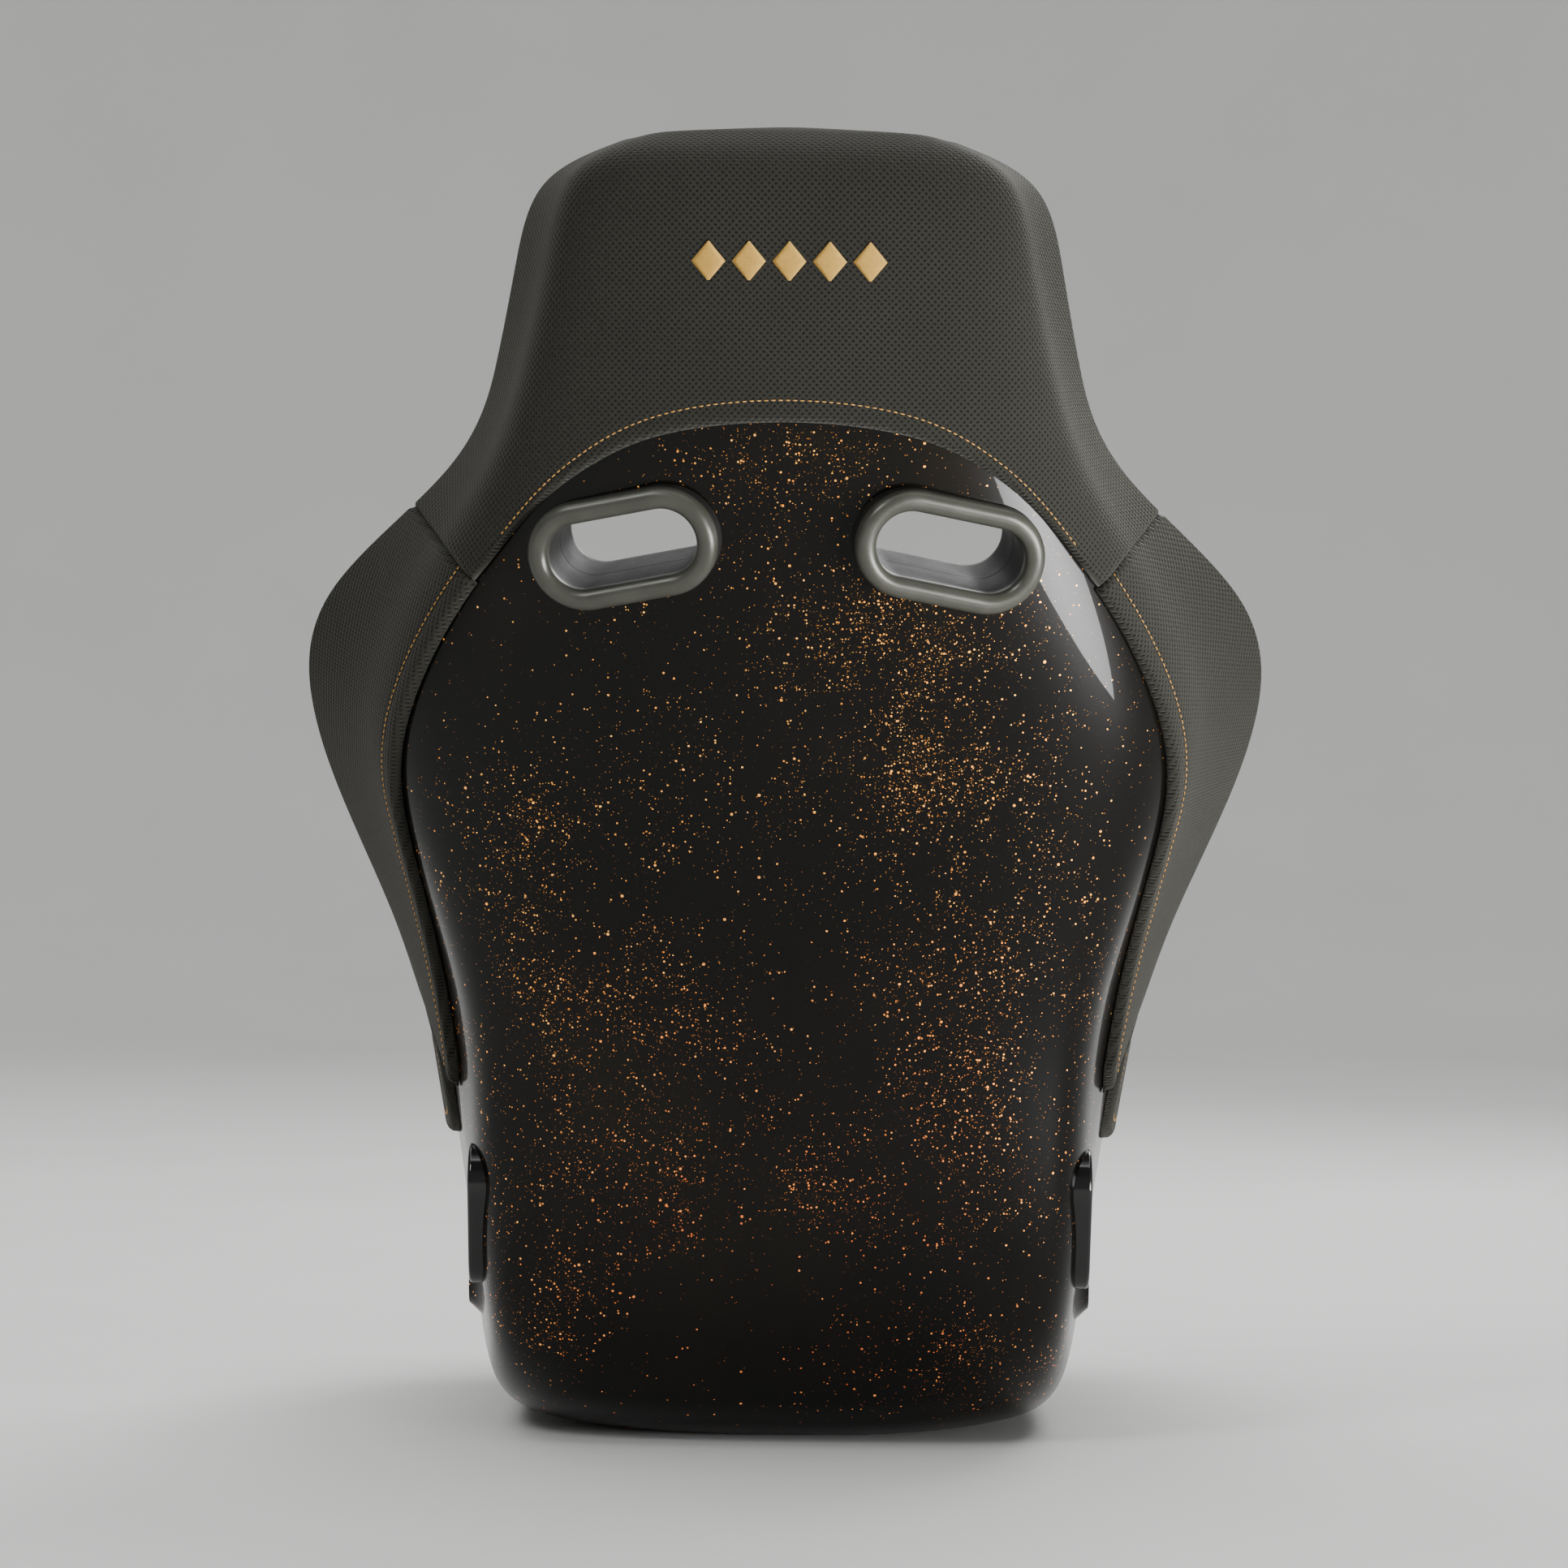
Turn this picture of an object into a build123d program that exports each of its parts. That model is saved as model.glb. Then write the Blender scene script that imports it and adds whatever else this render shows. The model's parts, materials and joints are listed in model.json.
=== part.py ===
from build123d import *
import math
import os

# Fixed-back racing bucket seat: a glass-fibre shell, foam pads in sewn covers, harness bezels and side mounts.
#
# Axes: +X to the sitter's left, +Y to the rear, +Z up. The sitter faces -Y. Millimetres.
# The origin is the bottom centre of the seat's box, where the flat of the pan stands on a floor.
#
# The shell is a channel that follows a spine from the front lip, along the pan, up the back and over the head.
# Each station is one flat cut across that channel, from a point on the spine to a point on the rim.
# Shell, foam and covers are all measured in those same cuts, so that neighbours share their joint lines.

# ---------------------------------------------------------------- driving dimensions
SHELL_WALL = 5.5
PAD_GAP = 0.8  # between the shell and the foam
CROWN_PAD_GAP = 5.6  # between the outside fabric and the crown pad, above the shell
COVER_WALL = 2.5  # fabric with its thin foam backing
COVER_GAP = 0.4  # between foam and cover
SEAM_GAP = 0.5  # from a joint line between two pads to either pad
RIM_LIFT = 9.5  # how far the padding stands above the shell's rim
CREST_INSET = 30.0  # crest of a bolster, in from the rim
SKIN_GAP = 0.6  # between the shell's outside and the padded fabric over it
SKIN = 7.0  # padded fabric over the shell's outside
ORIGIN_Y = 17.28  # the box's middle, on the stations' own y scale

# Stations: name, spine (y, z), rim (y, z), foot half-width, depth of the foot, rim half-width,
# and for the padding: thickness at the centre line, half-width between the bolsters.
STATIONS = [
    ("front lip", (-340, 112), (-336, 158), 176, 10, 204, 46, 152),
    ("knee", (-300, 60), (-294, 214), 190, 14, 222, 60, 168),
    ("thigh front", (-232, 13), (-224, 262), 197, 16, 234, 60, 176),
    ("thigh", (-150, -4), (-148, 276), 198, 16, 240, 54, 178),
    ("pan middle", (-50, -1), (-76, 270), 198, 16, 240, 50, 178),
    ("hip front", (54, -5), (-14, 258), 198, 22, 232, 54, 178),
    ("heel", (130, 4), (24, 254), 192, 40, 226, 66, 176),
    ("heel back", (178, 66), (46, 268), 196, 36, 228, 58, 173),
    ("lumbar", (194, 158), (60, 304), 194, 34, 240, 44, 170),
    ("waist", (207, 250), (74, 352), 200, 42, 256, 40, 174),
    ("ribs", (230, 345), (88, 415), 230, 50, 286, 44, 184),
    ("shoulder", (264, 445), (102, 486), 260, 60, 314, 46, 198),
    ("harness", (300, 540), (148, 562), 232, 56, 313, 46, 184),
    ("neck", (330, 625), (226, 640), 176, 34, 196, 54, 140),
    ("nape", (352, 700), (264, 706), 154, 22, 178, 60, 118),
    ("head", (366, 764), (286, 764), 140, 20, 167, 58, 110),
    ("head top", (377, 822), (298, 818), 132, 18, 156, 50, 96),
    ("crown", (348, 839), (318, 837), 84, 8, 100, 36, 60),
]
CROWN = len(STATIONS) - 1
SHELL_TOP = CROWN - 1

# Joint lines of the padding, as cuts along the spine and as half-widths across it
CUSHION_FRONT, CUSHION_BACK, CUSHION_HALF = 0.28, 5.6, 164.0
LUMBAR_TOP, BACKREST_TOP = 8.9, 12.7
HIP_TOP = 8.4
CUT_GAP = 0.06  # share of a station left open between two pads, one above the other
CENTRE_PAD_SHARE = 0.95  # of the half-width between the bolsters
BEYOND_RIM = 1000.0  # a half-width that no cut reaches, so that a pad runs out to the rim

# Padded fabric over the outside: the arch of its edge across the back, then how far it comes down the sides
ARCH = [(0, 663), (78, 655), (119, 638), (160, 611), (189, 577), (212, 549), (235, 512), (250, 477)]
ARCH_SIDE = [(256, 450), (256, 420), (249, 388), (243, 361), (237, 335), (230, 300), (222, 250)]
WING_BOTTOM = 7.75
SIDE_COVER_FRONT, SIDE_COVER_BACK, SIDE_COVER_FROM = 0.6, 7.65, 0.87
SEAM_LOW, SEAM_HIGH = (210, 573), (231, 599)  # two points on the seam between the head and a wing

# Harness pass-throughs in the back
HARNESS_X, HARNESS_Z = 102.0, 584.0
HARNESS_DROP = 20.0  # degrees that the tunnel falls towards the rear
HARNESS_SPLAY = 12.0  # degrees that it turns outwards
HARNESS_ROLL = 15.0  # degrees that the outer end of the oval hangs below the inner end
HARNESS_DEPTH = 51.0  # from the rear ring's seat to the front ring's seat
BEZEL = (124.0, 71.0)
BEZEL_OPENING = (98.0, 43.0)
BEZEL_HEIGHT = 11.0
BEZEL_SLEEVE = 2.4
BEZEL_BEDDING = 12.0  # ring stock below its seat, trimmed to the surface that it lies on
SLOT_CLEARANCE = 0.6

# Lap belt slots in the sides, and the crotch strap slot in the pan
LAP_CENTRE = (108.0, 150.0)
LAP_LEAN = 67.0  # degrees from level, rising to the rear
LAP_RING, LAP_OPENING = (98.0, 50.0), (76.0, 28.0)
LAP_RING_HEIGHT = 3.5
CROTCH_Y = -165.0
CROTCH_RING, CROTCH_OPENING = (88.0, 42.0), (66.0, 20.0)
CROTCH_RING_HEIGHT = 5.0

# Side mounts: M8 inserts in bosses, with a steel plate behind each side's pair
MOUNT_SPACING = 290.0
MOUNT_Y, MOUNT_Z, MOUNT_X = -97.5, 100.0, 208.0
M8_RADIUS, INSERT_RADIUS = 4.0, 8.0
BOSS_RADIUS, BOSS_FOOT_RADIUS = 15.0, 26.0
PLATE_X, PLATE_THICKNESS, PLATE_HEIGHT, PLATE_OVERHANG = 193.0, 3.0, 44.0, 24.0

# Hook-and-loop under the cushion: heights above the shell's inside
HOOK_LOW, HOOK_HIGH = 0.3, 2.1
LOOP_LOW, LOOP_HIGH = 2.5, 4.3
CLOTH_LOW, CLOTH_HIGH = 4.4, 5.4
STRIP_INNER, STRIP_OUTER = 62.0, 104.0

# Rubber edging on the front lip, and the embroidered motif on the head
LIP_BACK, LIP_FRONT, LIP_THICKNESS = -0.005, -0.1, 2.4
MOTIF_Z, MOTIF_PITCH, MOTIF_HEIGHT, MOTIF_COUNT, MOTIF_THICKNESS = 758.0, 25.0, 25.0, 5, 1.0

os.makedirs("parts", exist_ok=True)


# ---------------------------------------------------------------- smooth stations and sections
def smooth(values, t, before=None):
    """Uniform cubic B-spline through a list of numbers, at t steps along it. before is the value ahead of the first."""
    i = min(max(int(math.floor(t)), 0), len(values) - 2)
    f = t - i
    ahead = 2 * values[0] - values[1] if before is None else before
    a, b, c, d = [ahead, *values, 2 * values[-1] - values[-2]][i : i + 4]
    return (a * (1 - f) ** 3 + b * (3 * f**3 - 6 * f**2 + 4) + c * (3 * f * (1 + f - f**2) + 1) + d * f**3) / 6


def station(u):
    """Every driving value of the cut at u, from 0 at the front lip to CROWN at the top of the head."""
    columns = zip(*[(*spine, *rim, *sizes) for _, spine, rim, *sizes in STATIONS])
    py, pz, ry, rz, foot, sag, rim, pad, inner = [smooth(column, u) for column in columns]
    depth = math.hypot(ry - py, rz - pz)
    along_cut = ((ry - py) / depth, (rz - pz) / depth)
    return {
        "spine": (py, pz),
        "cut": along_cut,
        "depth": depth,
        "foot": foot,
        "sag": sag,
        "rim": rim,
        "pad": pad,
        "inner": inner,
    }


def along(control, m):
    """Point (half-width, depth) at m, from 0 at the centre line to 1 at the rim, on a half section."""
    t = m * (len(control) - 1)
    widths, depths = zip(*control)
    return smooth(widths, t, before=-widths[1]), smooth(depths, t, before=depths[1])


def shell_control(s):
    foot, sag = s["foot"], s["sag"]
    flare, wall = s["rim"] - foot, s["depth"] - sag
    return [
        (0, 0),
        (0.42 * foot, 0.03 * sag),
        (0.78 * foot, 0.36 * sag),
        (foot, sag),
        (foot + 0.25 * flare, sag + 0.36 * wall),
        (foot + 0.62 * flare, sag + 0.70 * wall),
        (s["rim"], s["depth"]),
    ]


def pad_control(s):
    pad, inner, top = s["pad"], s["inner"], s["depth"] + RIM_LIFT
    crest = s["rim"] - CREST_INSET
    return [
        (0, pad),
        (0.48 * inner, pad),
        (0.88 * inner, pad + 0.03 * (top - pad)),
        (inner + 0.22 * (crest - inner), pad + 0.24 * (top - pad)),
        (inner + 0.62 * (crest - inner), pad + 0.80 * (top - pad)),
        (crest, top + 5),
        (s["rim"] - SHELL_WALL - PAD_GAP, top),
    ]


def shell_point(s, m, inwards):
    """Point on the shell's outside at m, moved inwards within the cut."""
    control = shell_control(s)
    x, d = along(control, m)
    x0, d0 = along(control, max(m - 0.01, 0))
    x1, d1 = along(control, min(m + 0.01, 1))
    if m < 0.01:
        x0, d0 = -x1, d1
    length = math.hypot(x1 - x0, d1 - d0)
    return x - (d1 - d0) / length * inwards, d + (x1 - x0) / length * inwards


def pad_point(s, m, drop):
    """Point on the padding's face at m, lowered towards the shell by drop."""
    x, d = along(pad_control(s), m)
    gx, gd = shell_point(s, m, SHELL_WALL + PAD_GAP)
    length = math.hypot(x - gx, d - gd)
    return x + (gx - x) * drop / length, d + (gd - d) * drop / length


def place(s, x, d):
    (py, pz), (ey, ez) = s["spine"], s["cut"]
    return Vector(x, py + d * ey - ORIGIN_Y, pz + d * ez)


def steps(first, last, count):
    return [first + (last - first) * i / (count - 1) for i in range(count)]


def share_at(function, s, x, offset):
    """Signed m where a section is x wide, or the rim's where it is nowhere that wide."""
    low, high = 0.0, 1.0
    for _ in range(22):
        middle = (low + high) / 2
        if function(s, middle, offset)[0] < abs(x):
            low = middle
        else:
            high = middle
    return math.copysign(high, x)


def run(function, s, x0, x1, offset, rim_margin=0.0, count=13):
    """Points of a section between two signed half-widths, kept rim_margin (a share of m) from the rim."""
    limit = 1 - rim_margin
    ends = [max(-limit, min(limit, share_at(function, s, x, offset))) for x in (x0, x1)]
    points = []
    for v in steps(*ends, count):
        x, d = function(s, abs(v), offset)
        points.append(place(s, math.copysign(x, v), d))
    return points


def closed_wire(*runs):
    """A closed wire. Each run of points becomes a spline, and lines join one run to the next."""
    edges = []
    for i, points in enumerate(runs):
        if len(points) > 1:
            edges.append(Edge.make_spline(points, parameters=steps(0, 1, len(points))))
        edges.append(Line(points[-1], runs[(i + 1) % len(runs)][0]))
    return Wire(edges)


def loft_cuts(u0, u1, count, wire_at):
    return Solid.make_loft([wire_at(station(u)) for u in steps(u0, u1, count)])


def layer(u0, u1, x0, x1, low, high, count=None, across=17):
    """A solid that follows the shell, between two depths below its outside surface."""

    def wire_at(s):
        under = run(shell_point, s, x0, x1, low, count=across)
        top = run(shell_point, s, x1, x0, high, count=across)
        return closed_wire(under, top)

    return loft_cuts(u0, u1, count or max(5, round((u1 - u0) * 2) + 1), wire_at)


def both_sides(solid):
    return solid, mirror(solid, about=Plane.YZ)


def back_point(x, z):
    """The point of the shell's outside at x and z, on the back."""
    low, high = LUMBAR_TOP, SHELL_TOP
    for _ in range(26):
        middle = (low + high) / 2
        s = station(middle)
        point = place(s, *shell_point(s, abs(share_at(shell_point, s, x, 0)), 0))
        if point.Z < z:
            low = middle
        else:
            high = middle
    return Vector(x, point.Y, z)


# ---------------------------------------------------------------- frames of the openings
def tunnel_plane():
    """Left harness tunnel: normal to the rear, x along the oval towards its outer end."""
    drop, splay, roll = [math.radians(a) for a in (HARNESS_DROP, HARNESS_SPLAY, HARNESS_ROLL)]
    normal = Vector(math.sin(splay), math.cos(splay) * math.cos(drop), -math.cos(splay) * math.sin(drop))
    outer_end = Vector(math.cos(roll), 0, -math.sin(roll))
    x_dir = outer_end - normal * outer_end.dot(normal)
    return Plane(origin=back_point(HARNESS_X, HARNESS_Z), x_dir=x_dir, z_dir=normal)


def lap_plane():
    """Left lap belt slot: normal to the sitter's left, x up along the slot."""
    lean = math.radians(LAP_LEAN)
    outside = min((side_gap(*LAP_CENTRE, u) for u in steps(5, 8, 61)), key=lambda found: found[0])[1]
    return Plane(origin=(outside, *LAP_CENTRE), x_dir=(0, math.cos(lean), math.sin(lean)), z_dir=(1, 0, 0))


def side_gap(y, z, u):
    """How far the cut at u misses a point of the side, and the shell's half-width where it comes nearest."""
    s = station(u)
    (py, pz), (ey, ez) = s["spine"], s["cut"]
    d = (y + ORIGIN_Y - py) * ey + (z - pz) * ez
    miss = abs((y + ORIGIN_Y - py) * ez - (z - pz) * ey)
    low, high = 0.4, 1.0
    for _ in range(22):
        middle = (low + high) / 2
        if along(shell_control(s), middle)[1] < d:
            low = middle
        else:
            high = middle
    return miss, along(shell_control(s), low)[0]


def crotch_plane():
    """Crotch strap slot: normal up out of the cushion's face."""
    heights = []
    for u in steps(1.5, 4.5, 121):
        s = station(u)
        face = place(s, *pad_point(s, 0, 0))
        heights.append((abs(face.Y - CROTCH_Y), face.Z))
    return Plane(origin=(0, CROTCH_Y, min(heights)[1]), x_dir=(1, 0, 0), z_dir=(0, 0, 1))


def slot_prism(plane, size, low, high, grow=0.0):
    """A straight prism of oval section along a plane's normal, from low to high."""
    length, width = size
    return extrude(plane.offset(low) * SlotOverall(length + 2 * grow, width + 2 * grow), amount=high - low)


def ring(plane, size, opening, height, rounding):
    """An oval ring with rounded lips, standing on a plane and bedded below it."""
    body = slot_prism(plane, size, -BEZEL_BEDDING, height) - slot_prism(plane, opening, -BEZEL_BEDDING - 1, height + 1)
    lips = body.faces().filter_by(lambda f: (f.center() - plane.origin).dot(plane.z_dir) > height - 0.01)
    return fillet(lips.edges(), rounding)


def sleeve(plane, opening, low, high):
    return slot_prism(plane, opening, low, high, BEZEL_SLEEVE) - slot_prism(plane, opening, low - 1, high + 1)


HARNESS_PLANE = tunnel_plane()
HARNESS_FRONT = Plane(
    origin=HARNESS_PLANE.origin - HARNESS_PLANE.z_dir * HARNESS_DEPTH,
    x_dir=HARNESS_PLANE.x_dir,
    z_dir=-HARNESS_PLANE.z_dir,
)
LAP_PLANE = lap_plane()
CROTCH_PLANE = crotch_plane()


# ---------------------------------------------------------------- shell
def mount_cylinders(radius, low, high, top_radius=None):
    """Both of the left side's mounts as cylinders or cones along X, from x = low to x = high."""
    solids = []
    for y in (MOUNT_Y - MOUNT_SPACING / 2, MOUNT_Y + MOUNT_SPACING / 2):
        base = Plane(origin=(low, y, MOUNT_Z), x_dir=(0, 1, 0), z_dir=(1, 0, 0))
        solids.append(Solid.make_cone(radius, top_radius or radius - 0.001, high - low, base))
    return solids


def mount_bores(radius, low, high):
    solids = []
    for y in (MOUNT_Y - MOUNT_SPACING / 2, MOUNT_Y + MOUNT_SPACING / 2):
        base = Plane(origin=(low, y, MOUNT_Z), x_dir=(0, 1, 0), z_dir=(1, 0, 0))
        solids.append(Solid.make_cylinder(radius, high - low, base))
    return solids


def opening_tools():
    """Prisms that clear the harness, lap belt and crotch strap openings through the shell and the pads."""
    harness = slot_prism(HARNESS_PLANE, BEZEL_OPENING, -90, 40, BEZEL_SLEEVE + SLOT_CLEARANCE)
    lap = slot_prism(LAP_PLANE, LAP_OPENING, -90, 30, BEZEL_SLEEVE + SLOT_CLEARANCE)
    crotch = slot_prism(CROTCH_PLANE, CROTCH_OPENING, -90, 30, BEZEL_SLEEVE + SLOT_CLEARANCE)
    return [*both_sides(harness), *both_sides(lap), crotch]


def make_shell():
    body = layer(0, SHELL_TOP, -BEYOND_RIM, BEYOND_RIM, 0, SHELL_WALL, count=2 * SHELL_TOP + 1, across=33)
    for boss in mount_cylinders(BOSS_FOOT_RADIUS, PLATE_X + PLATE_THICKNESS, MOUNT_X, BOSS_RADIUS):
        for side in both_sides(boss):
            body = body + side
    for hole in mount_bores(INSERT_RADIUS, PLATE_X, MOUNT_X + 5):
        for side in both_sides(hole):
            body = body - side
    for tool in opening_tools():
        body = body - tool
    below_floor = Pos(0, 0, -10) * Box(600, 900, 20)
    return body - below_floor


def make_lip_trim():
    """A flat edging, bonded to the front edge of the shell and a little proud of both its faces."""
    return layer(
        LIP_FRONT, LIP_BACK, -BEYOND_RIM, BEYOND_RIM, -LIP_THICKNESS, SHELL_WALL + LIP_THICKNESS, count=3, across=33
    )


# ---------------------------------------------------------------- padding
def pad(u0, u1, x0, x1, drop=0.0, base=PAD_GAP, inset=0.0, rim_margin=0.0):
    """Padding from cut u0 to u1 and from half-width x0 to x1. x0 and x1 may be functions of a station."""

    def half_widths(s):
        low, high = [x(s) if callable(x) else x for x in (x0, x1)]
        return (low + inset if abs(low) < BEYOND_RIM else low), (high - inset if abs(high) < BEYOND_RIM else high)

    def wire_at(s):
        low, high = half_widths(s)
        under = run(shell_point, s, low, high, SHELL_WALL + base, rim_margin)
        top = run(pad_point, s, high, low, drop, rim_margin)
        return closed_wire(under, top)

    return loft_cuts(u0, u1, max(5, round((u1 - u0) * 2.5) + 1), wire_at)


def upholstered(u0, u1, x0, x1, base=PAD_GAP, end_share=0.06):
    """A foam block and the open-backed cover sewn round it. end_share is the cover's end wall as a share of a station."""
    inset = COVER_WALL + COVER_GAP
    whole = pad(u0, u1, x0, x1, base=base)
    cavity = pad(u0 + end_share, u1 - end_share, x0, x1, COVER_WALL, base - 3, COVER_WALL, 0.014)
    end = end_share + 0.012
    foam = pad(u0 + end, u1 - end, x0, x1, inset, base + 0.2, inset, 0.018)
    return foam, whole - cavity


def centre_edge(s):
    return CENTRE_PAD_SHARE * s["inner"] - SEAM_GAP


def minus_centre_edge(s):
    return -centre_edge(s)


def bolster_edge(s):
    return CENTRE_PAD_SHARE * s["inner"] + SEAM_GAP


def plate_pocket():
    """Room behind the left side's pads for the mounting plate and the bosses."""
    length = MOUNT_SPACING + 2 * PLATE_OVERHANG + 8
    return Pos(PLATE_X + 14, MOUNT_Y, MOUNT_Z) * Box(29, length, PLATE_HEIGHT + 14)


def cut_all(solid, tools):
    for tool in tools:
        solid = solid - tool
    return solid


def make_padding():
    """Every foam block and cover, by node name."""
    centre = (minus_centre_edge, centre_edge)
    full = (-BEYOND_RIM, BEYOND_RIM)
    bolster = (bolster_edge, BEYOND_RIM)
    thigh = (CUSHION_HALF + 2 * SEAM_GAP, BEYOND_RIM)
    cushion = (-CUSHION_HALF + SEAM_GAP, CUSHION_HALF - SEAM_GAP)

    back_start = CUSHION_BACK + 2 * CUT_GAP
    front_pocket = slot_prism(HARNESS_FRONT, BEZEL, 0, 60, 0.5)
    harness = slot_prism(HARNESS_PLANE, BEZEL_OPENING, -90, 40, BEZEL_SLEEVE + SLOT_CLEARANCE)
    harness_tools = [*both_sides(front_pocket), *both_sides(harness)]
    lap = slot_prism(LAP_PLANE, LAP_OPENING, -90, 30, BEZEL_SLEEVE + SLOT_CLEARANCE)
    crotch = slot_prism(CROTCH_PLANE, CROTCH_OPENING, -120, 30, BEZEL_SLEEVE + SLOT_CLEARANCE)
    crotch_seat = slot_prism(CROTCH_PLANE, CROTCH_RING, -0.5, 30, 0.5)

    blocks = {
        "seat_cushion": (CUSHION_FRONT, CUSHION_BACK, *cushion, [crotch, crotch_seat], CLOTH_HIGH + 0.1),
        "lumbar_pad": (back_start, LUMBAR_TOP, *centre, [], PAD_GAP),
        "backrest_pad": (LUMBAR_TOP + CUT_GAP, BACKREST_TOP, *centre, harness_tools, PAD_GAP),
        "headrest_pad": (BACKREST_TOP + CUT_GAP, SHELL_TOP, *full, harness_tools, PAD_GAP),
        "crown_pad": (SHELL_TOP + CUT_GAP, CROWN, *full, [], -SHELL_WALL + CROWN_PAD_GAP),
        "left_thigh_bolster": (CUSHION_FRONT, CUSHION_BACK, *thigh, [plate_pocket()], PAD_GAP),
        "left_hip_bolster": (back_start, HIP_TOP, *bolster, [lap, plate_pocket()], PAD_GAP),
        "left_shoulder_bolster": (HIP_TOP + CUT_GAP, BACKREST_TOP, *bolster, [], PAD_GAP),
    }
    nodes = {}
    for name, (u0, u1, x0, x1, tools, base) in blocks.items():
        foam, cover = upholstered(u0, u1, x0, x1, base)
        nodes[name + "_foam"] = cut_all(foam, tools)
        nodes[name + "_cover"] = cut_all(cover, tools)
    return nodes


# ---------------------------------------------------------------- padded fabric over the outside
def rim_wrap(s, side):
    """Points that carry the outside fabric over the rim, on the side that side's sign says."""
    r, d = s["rim"], s["depth"]
    inner_edge = max(d + 1.2, shell_point(s, 1, SHELL_WALL)[1] + 1)
    corners = [(r + 6.5, d + 5), (r + 2.5, d + 9.2), (r - 5, d + 9.5), (r - 5, inner_edge), (r + 0.6, d + 1.2)]
    return [[place(s, side * x, depth)] for x, depth in corners]


def skin(u0, u1, x0, count):
    """Padded fabric outside the shell, from half-width x0 (or from rim to rim) and over the rim."""
    limit = -BEYOND_RIM if x0 is None else x0

    def wire_at(s):
        low = limit(s) if callable(limit) else limit
        outside = run(shell_point, s, low, BEYOND_RIM, -SKIN_GAP - SKIN, count=25)
        inside = run(shell_point, s, BEYOND_RIM, low, -SKIN_GAP, count=25)
        left, right = rim_wrap(s, 1), rim_wrap(s, -1)
        if x0 is None:
            return closed_wire(outside, *left, inside, *reversed(right))
        return closed_wire(outside, *left, inside)

    return loft_cuts(u0, u1, count, wire_at)


def arch_prism():
    """The opening in the outside fabric, seen from the rear, as a prism through the back."""
    left = [Vector(x, 0, z) for x, z in ARCH + ARCH_SIDE]
    right = [Vector(-p.X, 0, p.Z) for p in reversed(left[1:])]
    low = [Vector(-222, 0, 100), Vector(222, 0, 100)]
    outline = Wire([Spline(*right, *left), Line(left[-1], low[1]), Line(low[1], low[0]), Line(low[0], right[0])])
    return Solid.extrude(Face(outline), Vector(0, 500, 0))


def wing_prism(gap):
    """Everything outboard of the left seam between head and wing, moved outboard by gap."""
    (x0, z0), (x1, z1) = SEAM_LOW, SEAM_HIGH
    slope = (z1 - z0) / (x1 - x0)
    start, end = 150 + gap, 420 + gap
    corners = [(start, z0 + slope * (150 - x0)), (end, z0 + slope * (420 - x0)), (end, 200), (start, 200)]
    outline = Wire.make_polygon([Vector(x, 0, z) for x, z in corners], close=True)
    return Solid.extrude(Face(outline), Vector(0, 500, 0))


def side_cover_edge(s):
    """Half-width on the shell's side wall where the side cover's lower edge lies."""
    return shell_point(s, SIDE_COVER_FROM, -SKIN_GAP)[0]


def make_outside_fabric():
    wrap = skin(WING_BOTTOM, CROWN, None, 25) - arch_prism()
    head = wrap
    for tool in both_sides(wing_prism(-0.2)):
        head = head - tool
    wing = wrap & wing_prism(0.2)
    side = skin(SIDE_COVER_FRONT, SIDE_COVER_BACK, side_cover_edge, 19)
    return {"rear_head_cover": head, "left_wing_cover": wing, "left_side_cover": side}


def make_motif():
    """Embroidered lozenges on the back of the head."""
    cloth = layer(14.2, 15.9, -90, 90, -SKIN_GAP - SKIN - 0.1 - MOTIF_THICKNESS, -SKIN_GAP - SKIN - 0.1, across=13)
    solids = []
    for i in range(MOTIF_COUNT):
        x = (i - (MOTIF_COUNT - 1) / 2) * MOTIF_PITCH
        half_width, half_height = MOTIF_PITCH * 0.42, MOTIF_HEIGHT / 2
        corners = [(x - half_width, 0), (x, half_height), (x + half_width, 0), (x, -half_height)]
        outline = Wire.make_polygon([Vector(cx, 300, MOTIF_Z + cz) for cx, cz in corners], close=True)
        solids.append(cloth & Solid.extrude(Face(outline), Vector(0, 120, 0)))
    return solids


# ---------------------------------------------------------------- bezels, mounts and small parts
def make_bezels():
    """The left side's harness rings and lap ring, and the crotch ring."""
    thick_shell = layer(10, 13.4, -BEYOND_RIM, BEYOND_RIM, -0.1, 30, 9, 33)
    rear = ring(HARNESS_PLANE, BEZEL, BEZEL_OPENING, BEZEL_HEIGHT, 6.2) - thick_shell
    rear = rear + sleeve(HARNESS_PLANE, BEZEL_OPENING, -HARNESS_DEPTH / 2 + 0.3, BEZEL_HEIGHT / 2)
    front = ring(HARNESS_FRONT, BEZEL, BEZEL_OPENING, 8, 5.5)
    front = front - slot_prism(HARNESS_FRONT, BEZEL, -60, 0, 1)
    front = front + sleeve(HARNESS_FRONT, BEZEL_OPENING, -HARNESS_DEPTH / 2 + 0.3, 4)
    side_wall = layer(5, 9.5, 0, BEYOND_RIM, -0.1, 20, 9, 25)
    lap = ring(LAP_PLANE, LAP_RING, LAP_OPENING, LAP_RING_HEIGHT, 2.5) - side_wall
    lap = lap + sleeve(LAP_PLANE, LAP_OPENING, -14, LAP_RING_HEIGHT / 2)
    crotch = ring(CROTCH_PLANE, CROTCH_RING, CROTCH_OPENING, CROTCH_RING_HEIGHT, 3.5)
    crotch = crotch - slot_prism(CROTCH_PLANE, CROTCH_RING, -60, 0, 1)
    crotch = crotch + sleeve(CROTCH_PLANE, CROTCH_OPENING, -42, CROTCH_RING_HEIGHT / 2)
    return {
        "left_harness_bezel_rear": rear,
        "left_harness_bezel_front": front,
        "left_lap_belt_ring": lap,
        "crotch_strap_ring": crotch,
    }


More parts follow.
